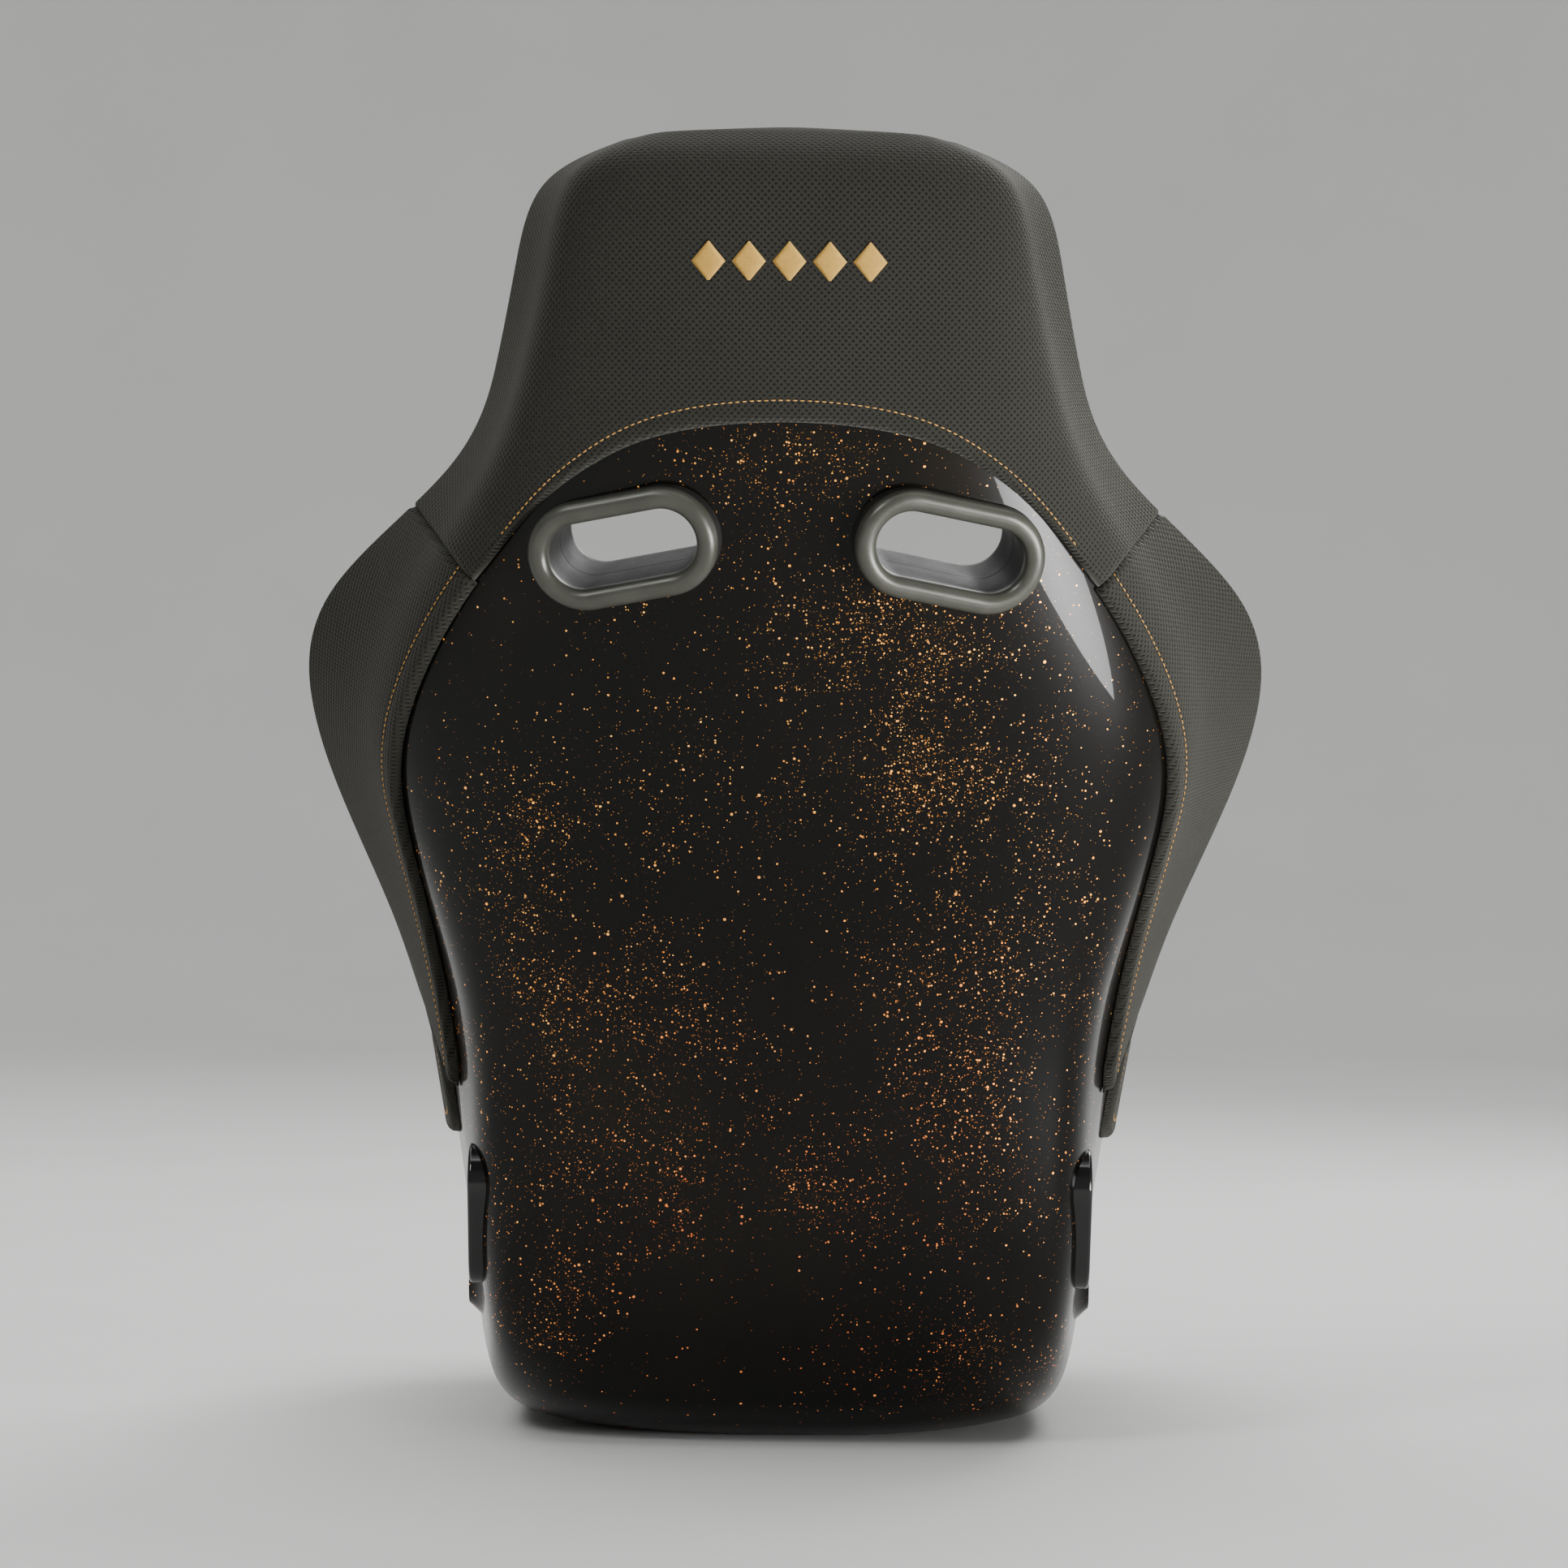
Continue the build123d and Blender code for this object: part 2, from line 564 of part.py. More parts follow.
def make_mount_parts():
    inserts = [
        outer - bore
        for outer, bore in zip(
            mount_bores(INSERT_RADIUS, PLATE_X + PLATE_THICKNESS, MOUNT_X),
            mount_bores(M8_RADIUS, PLATE_X, MOUNT_X + 1),
        )
    ]
    length = MOUNT_SPACING + 2 * PLATE_OVERHANG
    plate = Pos(PLATE_X + PLATE_THICKNESS / 2, MOUNT_Y, MOUNT_Z) * Box(PLATE_THICKNESS, length, PLATE_HEIGHT)
    plate = fillet(plate.edges().filter_by(Axis.X), 8)
    wall = layer(1, 6.5, 60, BEYOND_RIM, -20, SHELL_WALL + 0.1, count=12, across=25)
    return inserts, cut_all(plate, [wall, *mount_bores(M8_RADIUS + 0.3, PLATE_X - 1, MOUNT_X)])


def strips(low, high):
    """Both hook or loop strips under the cushion."""
    return list(both_sides(layer(1.6, 4.9, STRIP_INNER, STRIP_OUTER, SHELL_WALL + low, SHELL_WALL + high)))


# ---------------------------------------------------------------- all nodes
def make_nodes():
    nodes = {"shell": [make_shell()], "front_lip_trim": [make_lip_trim()], "head_motif": make_motif()}
    single = {**make_padding(), **make_outside_fabric(), **make_bezels()}
    inserts, plate = make_mount_parts()
    single["left_mount_plate"] = plate
    for name, solid in single.items():
        nodes[name] = [solid]
        if name.startswith("left_"):
            nodes[name.replace("left_", "right_")] = [mirror(solid, about=Plane.YZ)]
    nodes["left_mount_inserts"] = inserts
    nodes["right_mount_inserts"] = [mirror(insert, about=Plane.YZ) for insert in inserts]
    cloth = layer(0.6, CUSHION_BACK - 0.1, -150, 150, SHELL_WALL + CLOTH_LOW, SHELL_WALL + CLOTH_HIGH)
    crotch = slot_prism(CROTCH_PLANE, CROTCH_OPENING, -120, 30, BEZEL_SLEEVE + SLOT_CLEARANCE)
    nodes["cushion_base_cloth"] = [cloth - crotch]
    nodes["cushion_loop_strips"] = strips(LOOP_LOW, LOOP_HIGH)
    nodes["shell_hook_strips"] = strips(HOOK_LOW, HOOK_HIGH)
    return nodes


if __name__ == "__main__":
    for node, solids in make_nodes().items():
        shape = solids[0] if len(solids) == 1 else Compound(children=solids)
        export_step(shape, f"parts/{node}.step")
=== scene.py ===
import json
import math

import bpy
import numpy as np
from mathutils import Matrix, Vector


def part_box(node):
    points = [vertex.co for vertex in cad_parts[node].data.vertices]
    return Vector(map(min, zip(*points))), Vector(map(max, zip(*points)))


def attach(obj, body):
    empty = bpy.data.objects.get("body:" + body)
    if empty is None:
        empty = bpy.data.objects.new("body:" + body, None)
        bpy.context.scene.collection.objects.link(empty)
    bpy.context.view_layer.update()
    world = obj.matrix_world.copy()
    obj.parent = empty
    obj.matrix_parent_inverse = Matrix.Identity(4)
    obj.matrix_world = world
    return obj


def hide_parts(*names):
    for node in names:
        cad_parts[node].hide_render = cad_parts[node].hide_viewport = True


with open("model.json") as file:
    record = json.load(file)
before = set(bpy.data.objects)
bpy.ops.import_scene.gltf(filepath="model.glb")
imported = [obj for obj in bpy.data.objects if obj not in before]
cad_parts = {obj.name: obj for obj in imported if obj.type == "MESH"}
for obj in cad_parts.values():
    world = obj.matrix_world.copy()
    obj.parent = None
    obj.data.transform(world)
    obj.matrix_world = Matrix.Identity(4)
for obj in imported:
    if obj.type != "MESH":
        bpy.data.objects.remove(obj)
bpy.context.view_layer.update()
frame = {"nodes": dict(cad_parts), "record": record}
MM = 0.001

# ---------------------------------------------------------------- the seat's own stations, in millimetres
# Spine (y, z), rim (y, z), foot half-width, depth of the foot, rim half-width, pad thickness,
# half-width between bolsters
ORIGIN_Y = 17.28
STATIONS = np.array([
    (-340, 112, -336, 158, 176, 10, 204, 46, 152),
    (-300, 60, -294, 214, 190, 14, 222, 60, 168),
    (-232, 13, -224, 262, 197, 16, 234, 60, 176),
    (-150, -4, -148, 276, 198, 16, 240, 54, 178),
    (-50, -1, -76, 270, 198, 16, 240, 50, 178),
    (54, -5, -14, 258, 198, 22, 232, 54, 178),
    (130, 4, 24, 254, 192, 40, 226, 66, 176),
    (178, 66, 46, 268, 196, 36, 228, 58, 173),
    (194, 158, 60, 304, 194, 34, 240, 44, 170),
    (207, 250, 74, 352, 200, 42, 256, 40, 174),
    (230, 345, 88, 415, 230, 50, 286, 44, 184),
    (264, 445, 102, 486, 260, 60, 314, 46, 198),
    (300, 540, 148, 562, 232, 56, 313, 46, 184),
    (330, 625, 226, 640, 176, 34, 196, 54, 140),
    (352, 700, 264, 706, 154, 22, 178, 60, 118),
    (366, 764, 286, 764, 140, 20, 167, 58, 110),
    (377, 822, 298, 818, 132, 18, 156, 50, 96),
    (348, 839, 318, 837, 84, 8, 100, 36, 60),
], float)
CROWN = len(STATIONS) - 1
SHELL_WALL, PAD_GAP, RIM_LIFT, CREST_INSET = 5.5, 0.8, 9.5, 30.0
SKIN_GAP, SKIN = 0.6, 7.0
CUSHION_FRONT, CUSHION_BACK, CUSHION_HALF = 0.28, 5.6, 164.0
BACK_START, LUMBAR_TOP, HIP_TOP, BACKREST_TOP, CUT_GAP = 5.72, 8.9, 8.4, 12.7, 0.06
CENTRE_PAD_SHARE = 0.95
WING_BOTTOM = 7.75
SIDE_FRONT, SIDE_BACK, SIDE_FROM = 0.6, 7.65, 0.87
SEAM_LOW, SEAM_HIGH = (210, 573), (231, 599)
HARNESS_X, HARNESS_Z, HARNESS_DROP, HARNESS_SPLAY, HARNESS_ROLL, HARNESS_DEPTH = 102, 584, 20, 12, 15, 51
BEZEL, BEZEL_OPENING, SLEEVE_ROOM = (124, 71), (98, 43), 3.0
LAP_X, LAP_CENTRE, LAP_LEAN, LAP_OPENING = 201.75, (108, 150), 67, (76, 28)
CROTCH_Y, CROTCH_Z, CROTCH_RING, CROTCH_OPENING = -165, 53.67, (88, 42), (66, 20)
MOUNT_X, MOUNT_Y, MOUNT_Z, MOUNT_SPACING = 208, -97.5, 100, 290
INSERT_RADIUS, BOSS_RADIUS, BOSS_FOOT = 8, 15, 26
SHELL_TOP = 16
ARCH = np.array([
    (0, 663), (78, 655), (119, 638), (160, 611), (189, 577), (212, 549), (235, 512), (250, 477),
    (256, 450), (256, 420), (249, 388), (243, 361), (237, 335), (230, 300), (222, 250),
], float)


def spline(values, t, before=None):
    """Uniform cubic B-spline over the last axis of values, at t steps along it."""
    count = values.shape[-1]
    i = np.clip(np.floor(t).astype(int), 0, count - 2)
    f = t - i
    ahead = 2 * values[..., :1] - values[..., 1:2] if before is None else before[..., None]
    line = np.concatenate([ahead, values, 2 * values[..., -1:] - values[..., -2:-1]], axis=-1)
    line = np.broadcast_to(line, (*t.shape, count + 2))
    a, b, c, d = [np.take_along_axis(line, (i + k)[..., None], -1)[..., 0] for k in range(4)]
    return (a * (1 - f) ** 3 + b * (3 * f**3 - 6 * f**2 + 4) + c * (3 * f * (1 + f - f**2) + 1) + d * f**3) / 6


def station(u):
    """The driving values of the cuts at u, an array."""
    py, pz, ry, rz, foot, sag, rim, pad, inner = [spline(column, u) for column in STATIONS.T]
    depth = np.hypot(ry - py, rz - pz)
    return {
        "spine": np.stack([py - ORIGIN_Y, pz], -1),
        "cut": np.stack([(ry - py) / depth, (rz - pz) / depth], -1),
        "depth": depth, "foot": foot, "sag": sag, "rim": rim, "pad": pad, "inner": inner,
    }


def shell_control(s):
    foot, sag = s["foot"], s["sag"]
    flare, wall = s["rim"] - foot, s["depth"] - sag
    none = np.zeros_like(foot)
    widths = [none, 0.42 * foot, 0.78 * foot, foot, foot + 0.25 * flare, foot + 0.62 * flare, s["rim"]]
    depths = [none, 0.03 * sag, 0.36 * sag, sag, sag + 0.36 * wall, sag + 0.70 * wall, s["depth"]]
    return np.stack(widths, -1), np.stack(depths, -1)


def pad_control(s):
    pad, inner, top = s["pad"], s["inner"], s["depth"] + RIM_LIFT
    crest = s["rim"] - CREST_INSET
    reach, rise = crest - inner, top - pad
    widths = [0 * pad, 0.48 * inner, 0.88 * inner, inner + 0.22 * reach, inner + 0.62 * reach, crest,
              s["rim"] - SHELL_WALL - PAD_GAP]
    depths = [pad, pad, pad + 0.03 * rise, pad + 0.24 * rise, pad + 0.80 * rise, top + 5, top]
    return np.stack(widths, -1), np.stack(depths, -1)


def along(control, m):
    widths, depths = control
    t = m * (widths.shape[-1] - 1)
    return spline(widths, t, -widths[..., 1]), spline(depths, t, depths[..., 1])


def shell_section(s, m, outwards):
    """Half-width and depth of the shell's outside at m, moved outwards."""
    control = shell_control(s)
    x, d = along(control, m)
    x0, d0 = along(control, np.maximum(m - 0.01, 0))
    x1, d1 = along(control, np.minimum(m + 0.01, 1))
    x0, d0 = np.where(m < 0.01, -x1, x0), np.where(m < 0.01, d1, d0)
    length = np.hypot(x1 - x0, d1 - d0)
    return x + (d1 - d0) / length * outwards, d - (x1 - x0) / length * outwards


def place(s, x, d):
    spine, cut = s["spine"], s["cut"]
    return np.stack([x, spine[..., 0] + d * cut[..., 0], spine[..., 1] + d * cut[..., 1]], -1) * MM


def shell_surface(u, v, outwards):
    s = station(u)
    x, d = shell_section(s, np.abs(v), outwards)
    return place(s, np.sign(v) * x, d)


def pad_base(u, v, gap):
    """The underside of the padding: the same half-widths, gap above the shell's inside."""
    s = station(u)
    x = along(pad_control(s), np.abs(v))[0]
    low, high = np.zeros_like(u), np.ones_like(u)
    for _ in range(26):
        middle = (low + high) / 2
        narrow = shell_section(s, middle, -SHELL_WALL - gap)[0] < x
        low, high = np.where(narrow, middle, low), np.where(narrow, high, middle)
    bx, bd = shell_section(s, high, -SHELL_WALL - gap)
    return place(s, np.sign(v) * np.minimum(bx, x), bd)


def pad_surface(u, v, rise):
    """The padding's face, raised from the shell by rise (or lowered, where rise is negative)."""
    s = station(u)
    x, d = along(pad_control(s), np.abs(v))
    gx, gd = shell_section(s, np.abs(v), -SHELL_WALL - PAD_GAP)
    length = np.hypot(x - gx, d - gd)
    rise = np.maximum(rise, 1.5 - length)
    return place(s, np.sign(v) * (x + (x - gx) * rise / length), d + (d - gd) * rise / length)


WRAP = 0.12  # how far past the rim the outside fabric's own parameter runs
WRAP_START = 0.985


def outside_surface(u, w, outwards):
    """The outside fabric: the shell's outside for |w| up to 1, then over the rim's edge to |w| = 1 + WRAP."""
    s = station(u)
    a = np.abs(w)
    x, d = shell_section(s, np.minimum(a, 1) * WRAP_START, outwards)
    turn = np.clip((a - 1) / WRAP, 0, 1) * math.pi / 2
    ex, ed = shell_section(s, np.full_like(a, WRAP_START), outwards)
    end_x = s["rim"] - 5 - 0.2 * (SKIN - outwards)
    end_d = s["depth"] + RIM_LIFT - (SKIN + SKIN_GAP - outwards)
    wrap_x = end_x + (ex - end_x) * np.cos(turn)
    wrap_d = ed + (end_d - ed) * np.sin(turn)
    over = a > 1
    return place(s, np.sign(w) * np.where(over, wrap_x, x), np.where(over, wrap_d, d))


def share_at(control_of, u, x):
    """m where a section of that control is x wide."""
    s = station(u)
    low, high = np.zeros_like(u), np.ones_like(u)
    for _ in range(26):
        middle = (low + high) / 2
        narrow = along(control_of(s), middle)[0] < x
        low, high = np.where(narrow, middle, low), np.where(narrow, high, middle)
    return high


# ---------------------------------------------------------------- closed grids
def lengths(points, axis):
    """Arc length from the first row or column."""
    steps = np.linalg.norm(np.diff(points, axis=axis), axis=-1)
    start = np.zeros_like(np.take(steps, [0], axis))
    return np.concatenate([start, np.cumsum(steps, axis)], axis)


def ease(count, share=0.03, fine=5):
    """0 to 1 in count steps, with a few fine ones at both ends."""
    edge = np.linspace(0, share, fine)
    return np.concatenate([edge[:-1], np.linspace(share, 1 - share, count - 2 * fine + 2), 1 - edge[::-1][1:]])


def rounding(points, radii):
    """How far a grid's points drop for rounded edges. radii: first row, last row, first column, last column."""
    rows, columns = lengths(points, 0), lengths(points, 1)
    near = [rows, rows[-1:] - rows, columns, columns[:, -1:] - columns]
    share = [np.clip(1 - d / (r * MM), 0, 1) ** 2 if r else 0 for d, r in zip(near, radii)]
    total = np.minimum(np.sqrt(sum(share)), 1)
    return (1 - np.sqrt(1 - total**2)) * max(radii)


def border(shape):
    rows, columns = shape
    ring = [(0, j) for j in range(columns)] + [(i, columns - 1) for i in range(1, rows)]
    ring += [(rows - 1, j) for j in range(columns - 2, -1, -1)] + [(i, 0) for i in range(rows - 2, 0, -1)]
    return np.array(ring)


def weave(u, w):
    """Cloth coordinates on the outside, in metres: along each level section, and up the back."""
    levels, shares = np.linspace(SIDE_FRONT - 0.1, CROWN, 140), np.linspace(0, 1 + WRAP, 60)
    sections = outside_surface(*np.broadcast_arrays(levels[:, None], shares), SKIN_GAP + SKIN)
    across, up = lengths(sections, 1), lengths(sections[:, :1], 0)[:, 0]
    i = np.clip((u - levels[0]) / (levels[1] - levels[0]), 0, len(levels) - 1.001)
    j = np.clip(np.abs(w) / (shares[1] - shares[0]), 0, len(shares) - 1.001)
    a, b = i.astype(int), j.astype(int)
    i, j = i - a, j - b
    low = across[a, b] * (1 - i) + across[a + 1, b] * i
    high = across[a, b + 1] * (1 - i) + across[a + 1, b + 1] * i
    return np.stack([np.sign(w) * (low * (1 - j) + high * j), np.interp(u, levels, up)], -1)


def closed_mesh(name, top, base, walls=3, cloth=None):
    """A closed mesh of two matching grids and a wall round their borders, with its cloth's UV in metres."""
    rows, columns = top.shape[:2]
    ring = border((rows, columns))
    order = np.arange(rows * columns).reshape(rows, columns)
    loops = [order[ring[:, 0], ring[:, 1]]]
    verts = [top.reshape(-1, 3)]
    across, up = lengths(top, 1), lengths(top, 0)
    across = across - across[:, columns // 2 : columns // 2 + 1]
    uv = [(np.stack([across, up], -1) if cloth is None else cloth).reshape(-1, 2)]
    outward = np.stack([np.sign(ring[:, 1] - columns / 2) * ((ring[:, 1] == 0) | (ring[:, 1] == columns - 1)),
                        np.sign(ring[:, 0] - rows / 2) * ((ring[:, 0] == 0) | (ring[:, 0] == rows - 1))], -1)
    rim_top, rim_base = top[ring[:, 0], ring[:, 1]], base[ring[:, 0], ring[:, 1]]
    depth = np.linalg.norm(rim_top - rim_base, axis=-1)[:, None]
    used = rows * columns
    for k in range(1, walls + 1):
        share = k / (walls + 1)
        verts.append(rim_top + (rim_base - rim_top) * share)
        uv.append(uv[0][loops[0]] + outward * depth * share)
        loops.append(used + np.arange(len(ring)))
        used += len(ring)
    verts.append(base.reshape(-1, 3))
    uv.append(uv[0])
    under = order + used
    loops.append(under[ring[:, 0], ring[:, 1]])
    faces = []
    quads = np.stack([order[:-1, :-1], order[:-1, 1:], order[1:, 1:], order[1:, :-1]], -1).reshape(-1, 4)
    faces += quads.tolist() + (quads[:, ::-1] + used).tolist()
    for first, second in zip(loops, loops[1:]):
        for k in range(len(ring)):
            after = (k + 1) % len(ring)
            faces.append([int(first[after]), int(first[k]), int(second[k]), int(second[after])])
    piece = new_mesh(name, np.concatenate(verts), faces, np.concatenate(uv))
    piece["top_count"] = rows * columns
    return piece


def new_mesh(name, verts, faces, uv=None):
    mesh = bpy.data.meshes.new(name)
    mesh.from_pydata(verts.tolist(), [], faces)
    if uv is not None:
        layer = mesh.uv_layers.new(name="cloth")
        corner = np.zeros(len(mesh.loops), int)
        mesh.loops.foreach_get("vertex_index", corner)
        layer.data.foreach_set("uv", uv[corner].astype(np.float32).ravel())
    mesh.polygons.foreach_set("use_smooth", [True] * len(mesh.polygons))
    mesh.update()
    piece = bpy.data.objects.new(name, mesh)
    bpy.context.scene.collection.objects.link(piece)
    return piece


def face_outwards(piece):
    """Turns the faces out if the closed mesh is inside out."""
    mesh = piece.data
    co = vertices(piece)
    mesh.calc_loop_triangles()
    tri = np.zeros(len(mesh.loop_triangles) * 3, int)
    mesh.loop_triangles.foreach_get("vertices", tri)
    a, b, c = co[tri.reshape(-1, 3)].transpose(1, 0, 2)
    if np.einsum("ij,ij->i", a, np.cross(b, c)).sum() < 0:
        mesh.flip_normals()


def vertices(piece):
    co = np.zeros(len(piece.data.vertices) * 3)
    piece.data.vertices.foreach_get("co", co)
    return co.reshape(-1, 3)


def set_vertices(piece, co):
    piece.data.vertices.foreach_set("co", co.astype(np.float32).ravel())
    piece.data.update()


def inflate(piece, cap, stiff=18.0):
    """Blows the padding up a little as cloth under pressure, held along its base, with the swelling capped."""
    before = vertices(piece)
    held = piece.vertex_groups.new(name="held")
    top = piece["top_count"]
    held.add(list(range(top, len(before))), 1.0, "REPLACE")
    cloth = piece.modifiers.new("cloth", "CLOTH")
    settings = cloth.settings
    settings.quality = 4
    settings.mass = 0.3
    settings.tension_stiffness = stiff
    settings.compression_stiffness = stiff
    settings.shear_stiffness = stiff / 2
    settings.bending_stiffness = 0.8
    settings.vertex_group_mass = "held"
    settings.pin_stiffness = 1
    settings.use_pressure = True
    settings.uniform_pressure_force = 4
    settings.effector_weights.gravity = 0
    cloth.collision_settings.use_collision = False
    cloth.collision_settings.use_self_collision = False
    scene = bpy.context.scene
    for number in range(1, 21):
        scene.frame_set(number)
    evaluated = piece.evaluated_get(bpy.context.evaluated_depsgraph_get())
    after = np.zeros(before.size)
    evaluated.data.vertices.foreach_get("co", after)
    piece.modifiers.remove(cloth)
    scene.frame_set(1)
    move = after.reshape(-1, 3) - before
    size = np.linalg.norm(move, axis=-1, keepdims=True)
    move = move * (cap * MM * np.tanh(size / (cap * MM)) / np.maximum(size, 1e-9))
    up = unit(before[:top] - before[-top:])
    rise = np.einsum("ij,ij->i", move[:top], up)[:, None] * up
    move[:top] = rise + (move[:top] - rise) * 0.25
    move[top:] *= 0.25
    set_vertices(piece, before + move)
    piece.vertex_groups.remove(held)


# ---------------------------------------------------------------- node helpers
def tree(name):
    material = bpy.data.materials.new(name)
    material.use_nodes = True
    return material, material.node_tree.nodes["Principled BSDF"], Nodes(material.node_tree)


class Nodes:
    """Short ways to add and join shader nodes."""

    def __init__(self, node_tree):
        self.tree = node_tree

    def add(self, kind, inputs=None, **settings):
        node = self.tree.nodes.new(kind)
        for key, value in settings.items():
            setattr(node, key, value)
        for key, value in (inputs or {}).items():
            if isinstance(value, bpy.types.NodeSocket):
                self.tree.links.new(value, node.inputs[key])
            else:
                node.inputs[key].default_value = value
        return node

    def math(self, operation, *values):
        return self.add("ShaderNodeMath", dict(enumerate(values)), operation=operation).outputs[0]

    def ramp(self, value, low, high, to_low=0.0, to_high=1.0):
        ends = {"Value": value, "From Min": low, "From Max": high, "To Min": to_low, "To Max": to_high}
        return self.add("ShaderNodeMapRange", ends, interpolation_type="SMOOTHSTEP").outputs[0]

    def mix(self, factor, a, b):
        node = self.add("ShaderNodeMix", {0: factor, 6: a, 7: b}, data_type="RGBA")
        return node.outputs[2]

    def noise(self, vector, scale, detail=2.0, rough=0.5):
        return self.add("ShaderNodeTexNoise", {"Vector": vector, "Scale": scale, "Detail": detail,
                                               "Roughness": rough}).outputs["Fac"]

    def position(self):
        return self.add("ShaderNodeTexCoord").outputs["Object"]

    def uv(self):
        return self.add("ShaderNodeUVMap", uv_map="cloth").outputs["UV"]

    def link(self, a, b):
        self.tree.links.new(a, b)


def knit_material(name, yarn, hole, pitch=4.4, row=2.3, turn=0.0):
    """Charcoal honeycomb knit: staggered dark holes between light yarn loops, from the cloth's own UV."""
    material, shader, n = tree(name)
    turned = n.add("ShaderNodeVectorRotate", {"Vector": n.uv(), "Angle": turn},
                   rotation_type="Z_AXIS").outputs[0]
    wander = n.add("ShaderNodeTexNoise", {"Vector": turned, "Scale": 60.0, "Detail": 1.0}).outputs["Color"]
    shift = n.add("ShaderNodeVectorMath", {0: wander, 1: (0.5, 0.5, 0.5)}, operation="SUBTRACT").outputs[0]
    small = n.add("ShaderNodeVectorMath", {0: shift, 3: 0.0011}, operation="SCALE").outputs[0]
    moved = n.add("ShaderNodeVectorMath", {0: turned, 1: small}, operation="ADD").outputs[0]
    parts = n.add("ShaderNodeSeparateXYZ", {0: moved})
    course = n.math("DIVIDE", parts.outputs[1], row * MM)
    level = n.math("FLOOR", course)
    half = n.math("MULTIPLY", n.math("FLOORED_MODULO", level, 2.0), 0.5)
    wale = n.math("ADD", n.math("DIVIDE", parts.outputs[0], pitch * MM), half)
    across = n.math("SUBTRACT", n.math("FRACT", wale), 0.5)
    up = n.math("SUBTRACT", n.math("FRACT", course), 0.5)
    slant = n.math("MULTIPLY", n.math("SUBTRACT", half, 0.25), 0.5)
    leaning = n.math("ADD", across, n.math("MULTIPLY", up, slant))
    far = n.math("SQRT", n.math("ADD", n.math("POWER", n.math("MULTIPLY", leaning, 1.25), 2.0),
                                n.math("POWER", n.math("MULTIPLY", up, 0.75), 2.0)))
    yarn_height = n.ramp(far, 0.17, 0.38)
    twist = n.math("SINE", n.math("MULTIPLY", n.math("ADD", parts.outputs[0], parts.outputs[1]), 9000.0))
    fibre = n.noise(moved, 2600.0, 2.0, 0.7)
    fuzz = n.math("ADD", n.math("MULTIPLY", twist, 0.05), n.math("MULTIPLY", fibre, 0.16))
    height = n.math("ADD", yarn_height, fuzz)
    patches = n.noise(n.position(), 9.0, 3.0, 0.6)
    light = n.math("ADD", n.math("MULTIPLY", patches, 0.35), n.math("MULTIPLY", fibre, 0.55))
    pale = tuple(min(1.0, c * 1.9) for c in yarn)
    body = n.mix(n.ramp(light, 0.25, 0.75), (*yarn, 1), (*pale, 1))
    n.link(n.mix(yarn_height, (*hole, 1), body), shader.inputs["Base Color"])
    n.link(n.ramp(fibre, 0.2, 0.8, 0.78, 0.95), shader.inputs["Roughness"])
    bump = n.add("ShaderNodeBump", {"Height": height, "Strength": 0.75, "Distance": 0.0009})
    n.link(bump.outputs[0], shader.inputs["Normal"])
    shader.inputs["Sheen Weight"].default_value = 0.14
    shader.inputs["Sheen Roughness"].default_value = 0.45
    shader.inputs["Sheen Tint"].default_value = (0.75, 0.74, 0.66, 1)
    shader.inputs["Specular IOR Level"].default_value = 0.25
    return material


def flakes(n, position, size, density, seed, least=0.08, most=0.26):
    """Random round flakes about size metres apart: (mask, random value). density is where they are."""
    offset = (seed, seed * 0.7, seed * 1.3)
    shifted = n.add("ShaderNodeVectorMath", {0: position, 1: offset}, operation="ADD").outputs[0]
    cells = n.add("ShaderNodeTexVoronoi", {"Vector": shifted, "Scale": 1 / size, "Randomness": 1.0})
    colour = n.add("ShaderNodeSeparateColor", {0: cells.outputs["Color"]})
    radius = n.ramp(n.math("POWER", colour.outputs[1], 2.5), 0.0, 1.0, least, most)
    dot = n.math("LESS_THAN", cells.outputs["Distance"], radius)
    here = n.math("LESS_THAN", colour.outputs[0], density)
    return n.math("MULTIPLY", dot, here), colour.outputs[2]


# Clusters of flake seen from the rear: centre (x, z), spread (x, z), strength
CLUSTERS = (
    (0.000, 0.640, 0.040, 0.035, 0.9), (-0.062, 0.476, 0.045, 0.055, 1.0), (-0.118, 0.390, 0.060, 0.070, 0.6),
    (-0.150, 0.345, 0.030, 0.060, 0.5), (0.145, 0.330, 0.050, 0.070, 0.9), (0.160, 0.420, 0.040, 0.045, 0.35),
    (-0.020, 0.540, 0.090, 0.045, 0.5), (0.065, 0.165, 0.075, 0.032, 0.8), (-0.080, 0.170, 0.090, 0.030, 0.5),
    (0.160, 0.100, 0.030, 0.035, 0.9), (-0.105, 0.065, 0.060, 0.022, 0.9), (-0.135, 0.245, 0.035, 0.035, 0.7),
    (0.000, 0.270, 0.120, 0.030, 0.35), (0.040, 0.430, 0.070, 0.050, 0.25),
)
BARE = ((0.150, 0.500, 0.050, 0.045), (0.000, 0.085, 0.065, 0.040), (-0.020, 0.380, 0.028, 0.060))


def blob(n, x, z, centre_x, centre_z, spread_x, spread_z):
    """A soft round patch, 1 in its middle."""
    a = n.math("DIVIDE", n.math("SUBTRACT", x, centre_x), spread_x)
    b = n.math("DIVIDE", n.math("SUBTRACT", z, centre_z), spread_z)
    squares = n.math("ADD", n.math("MULTIPLY", a, a), n.math("MULTIPLY", b, b))
    return n.math("EXPONENT", n.math("MULTIPLY", squares, -0.5))


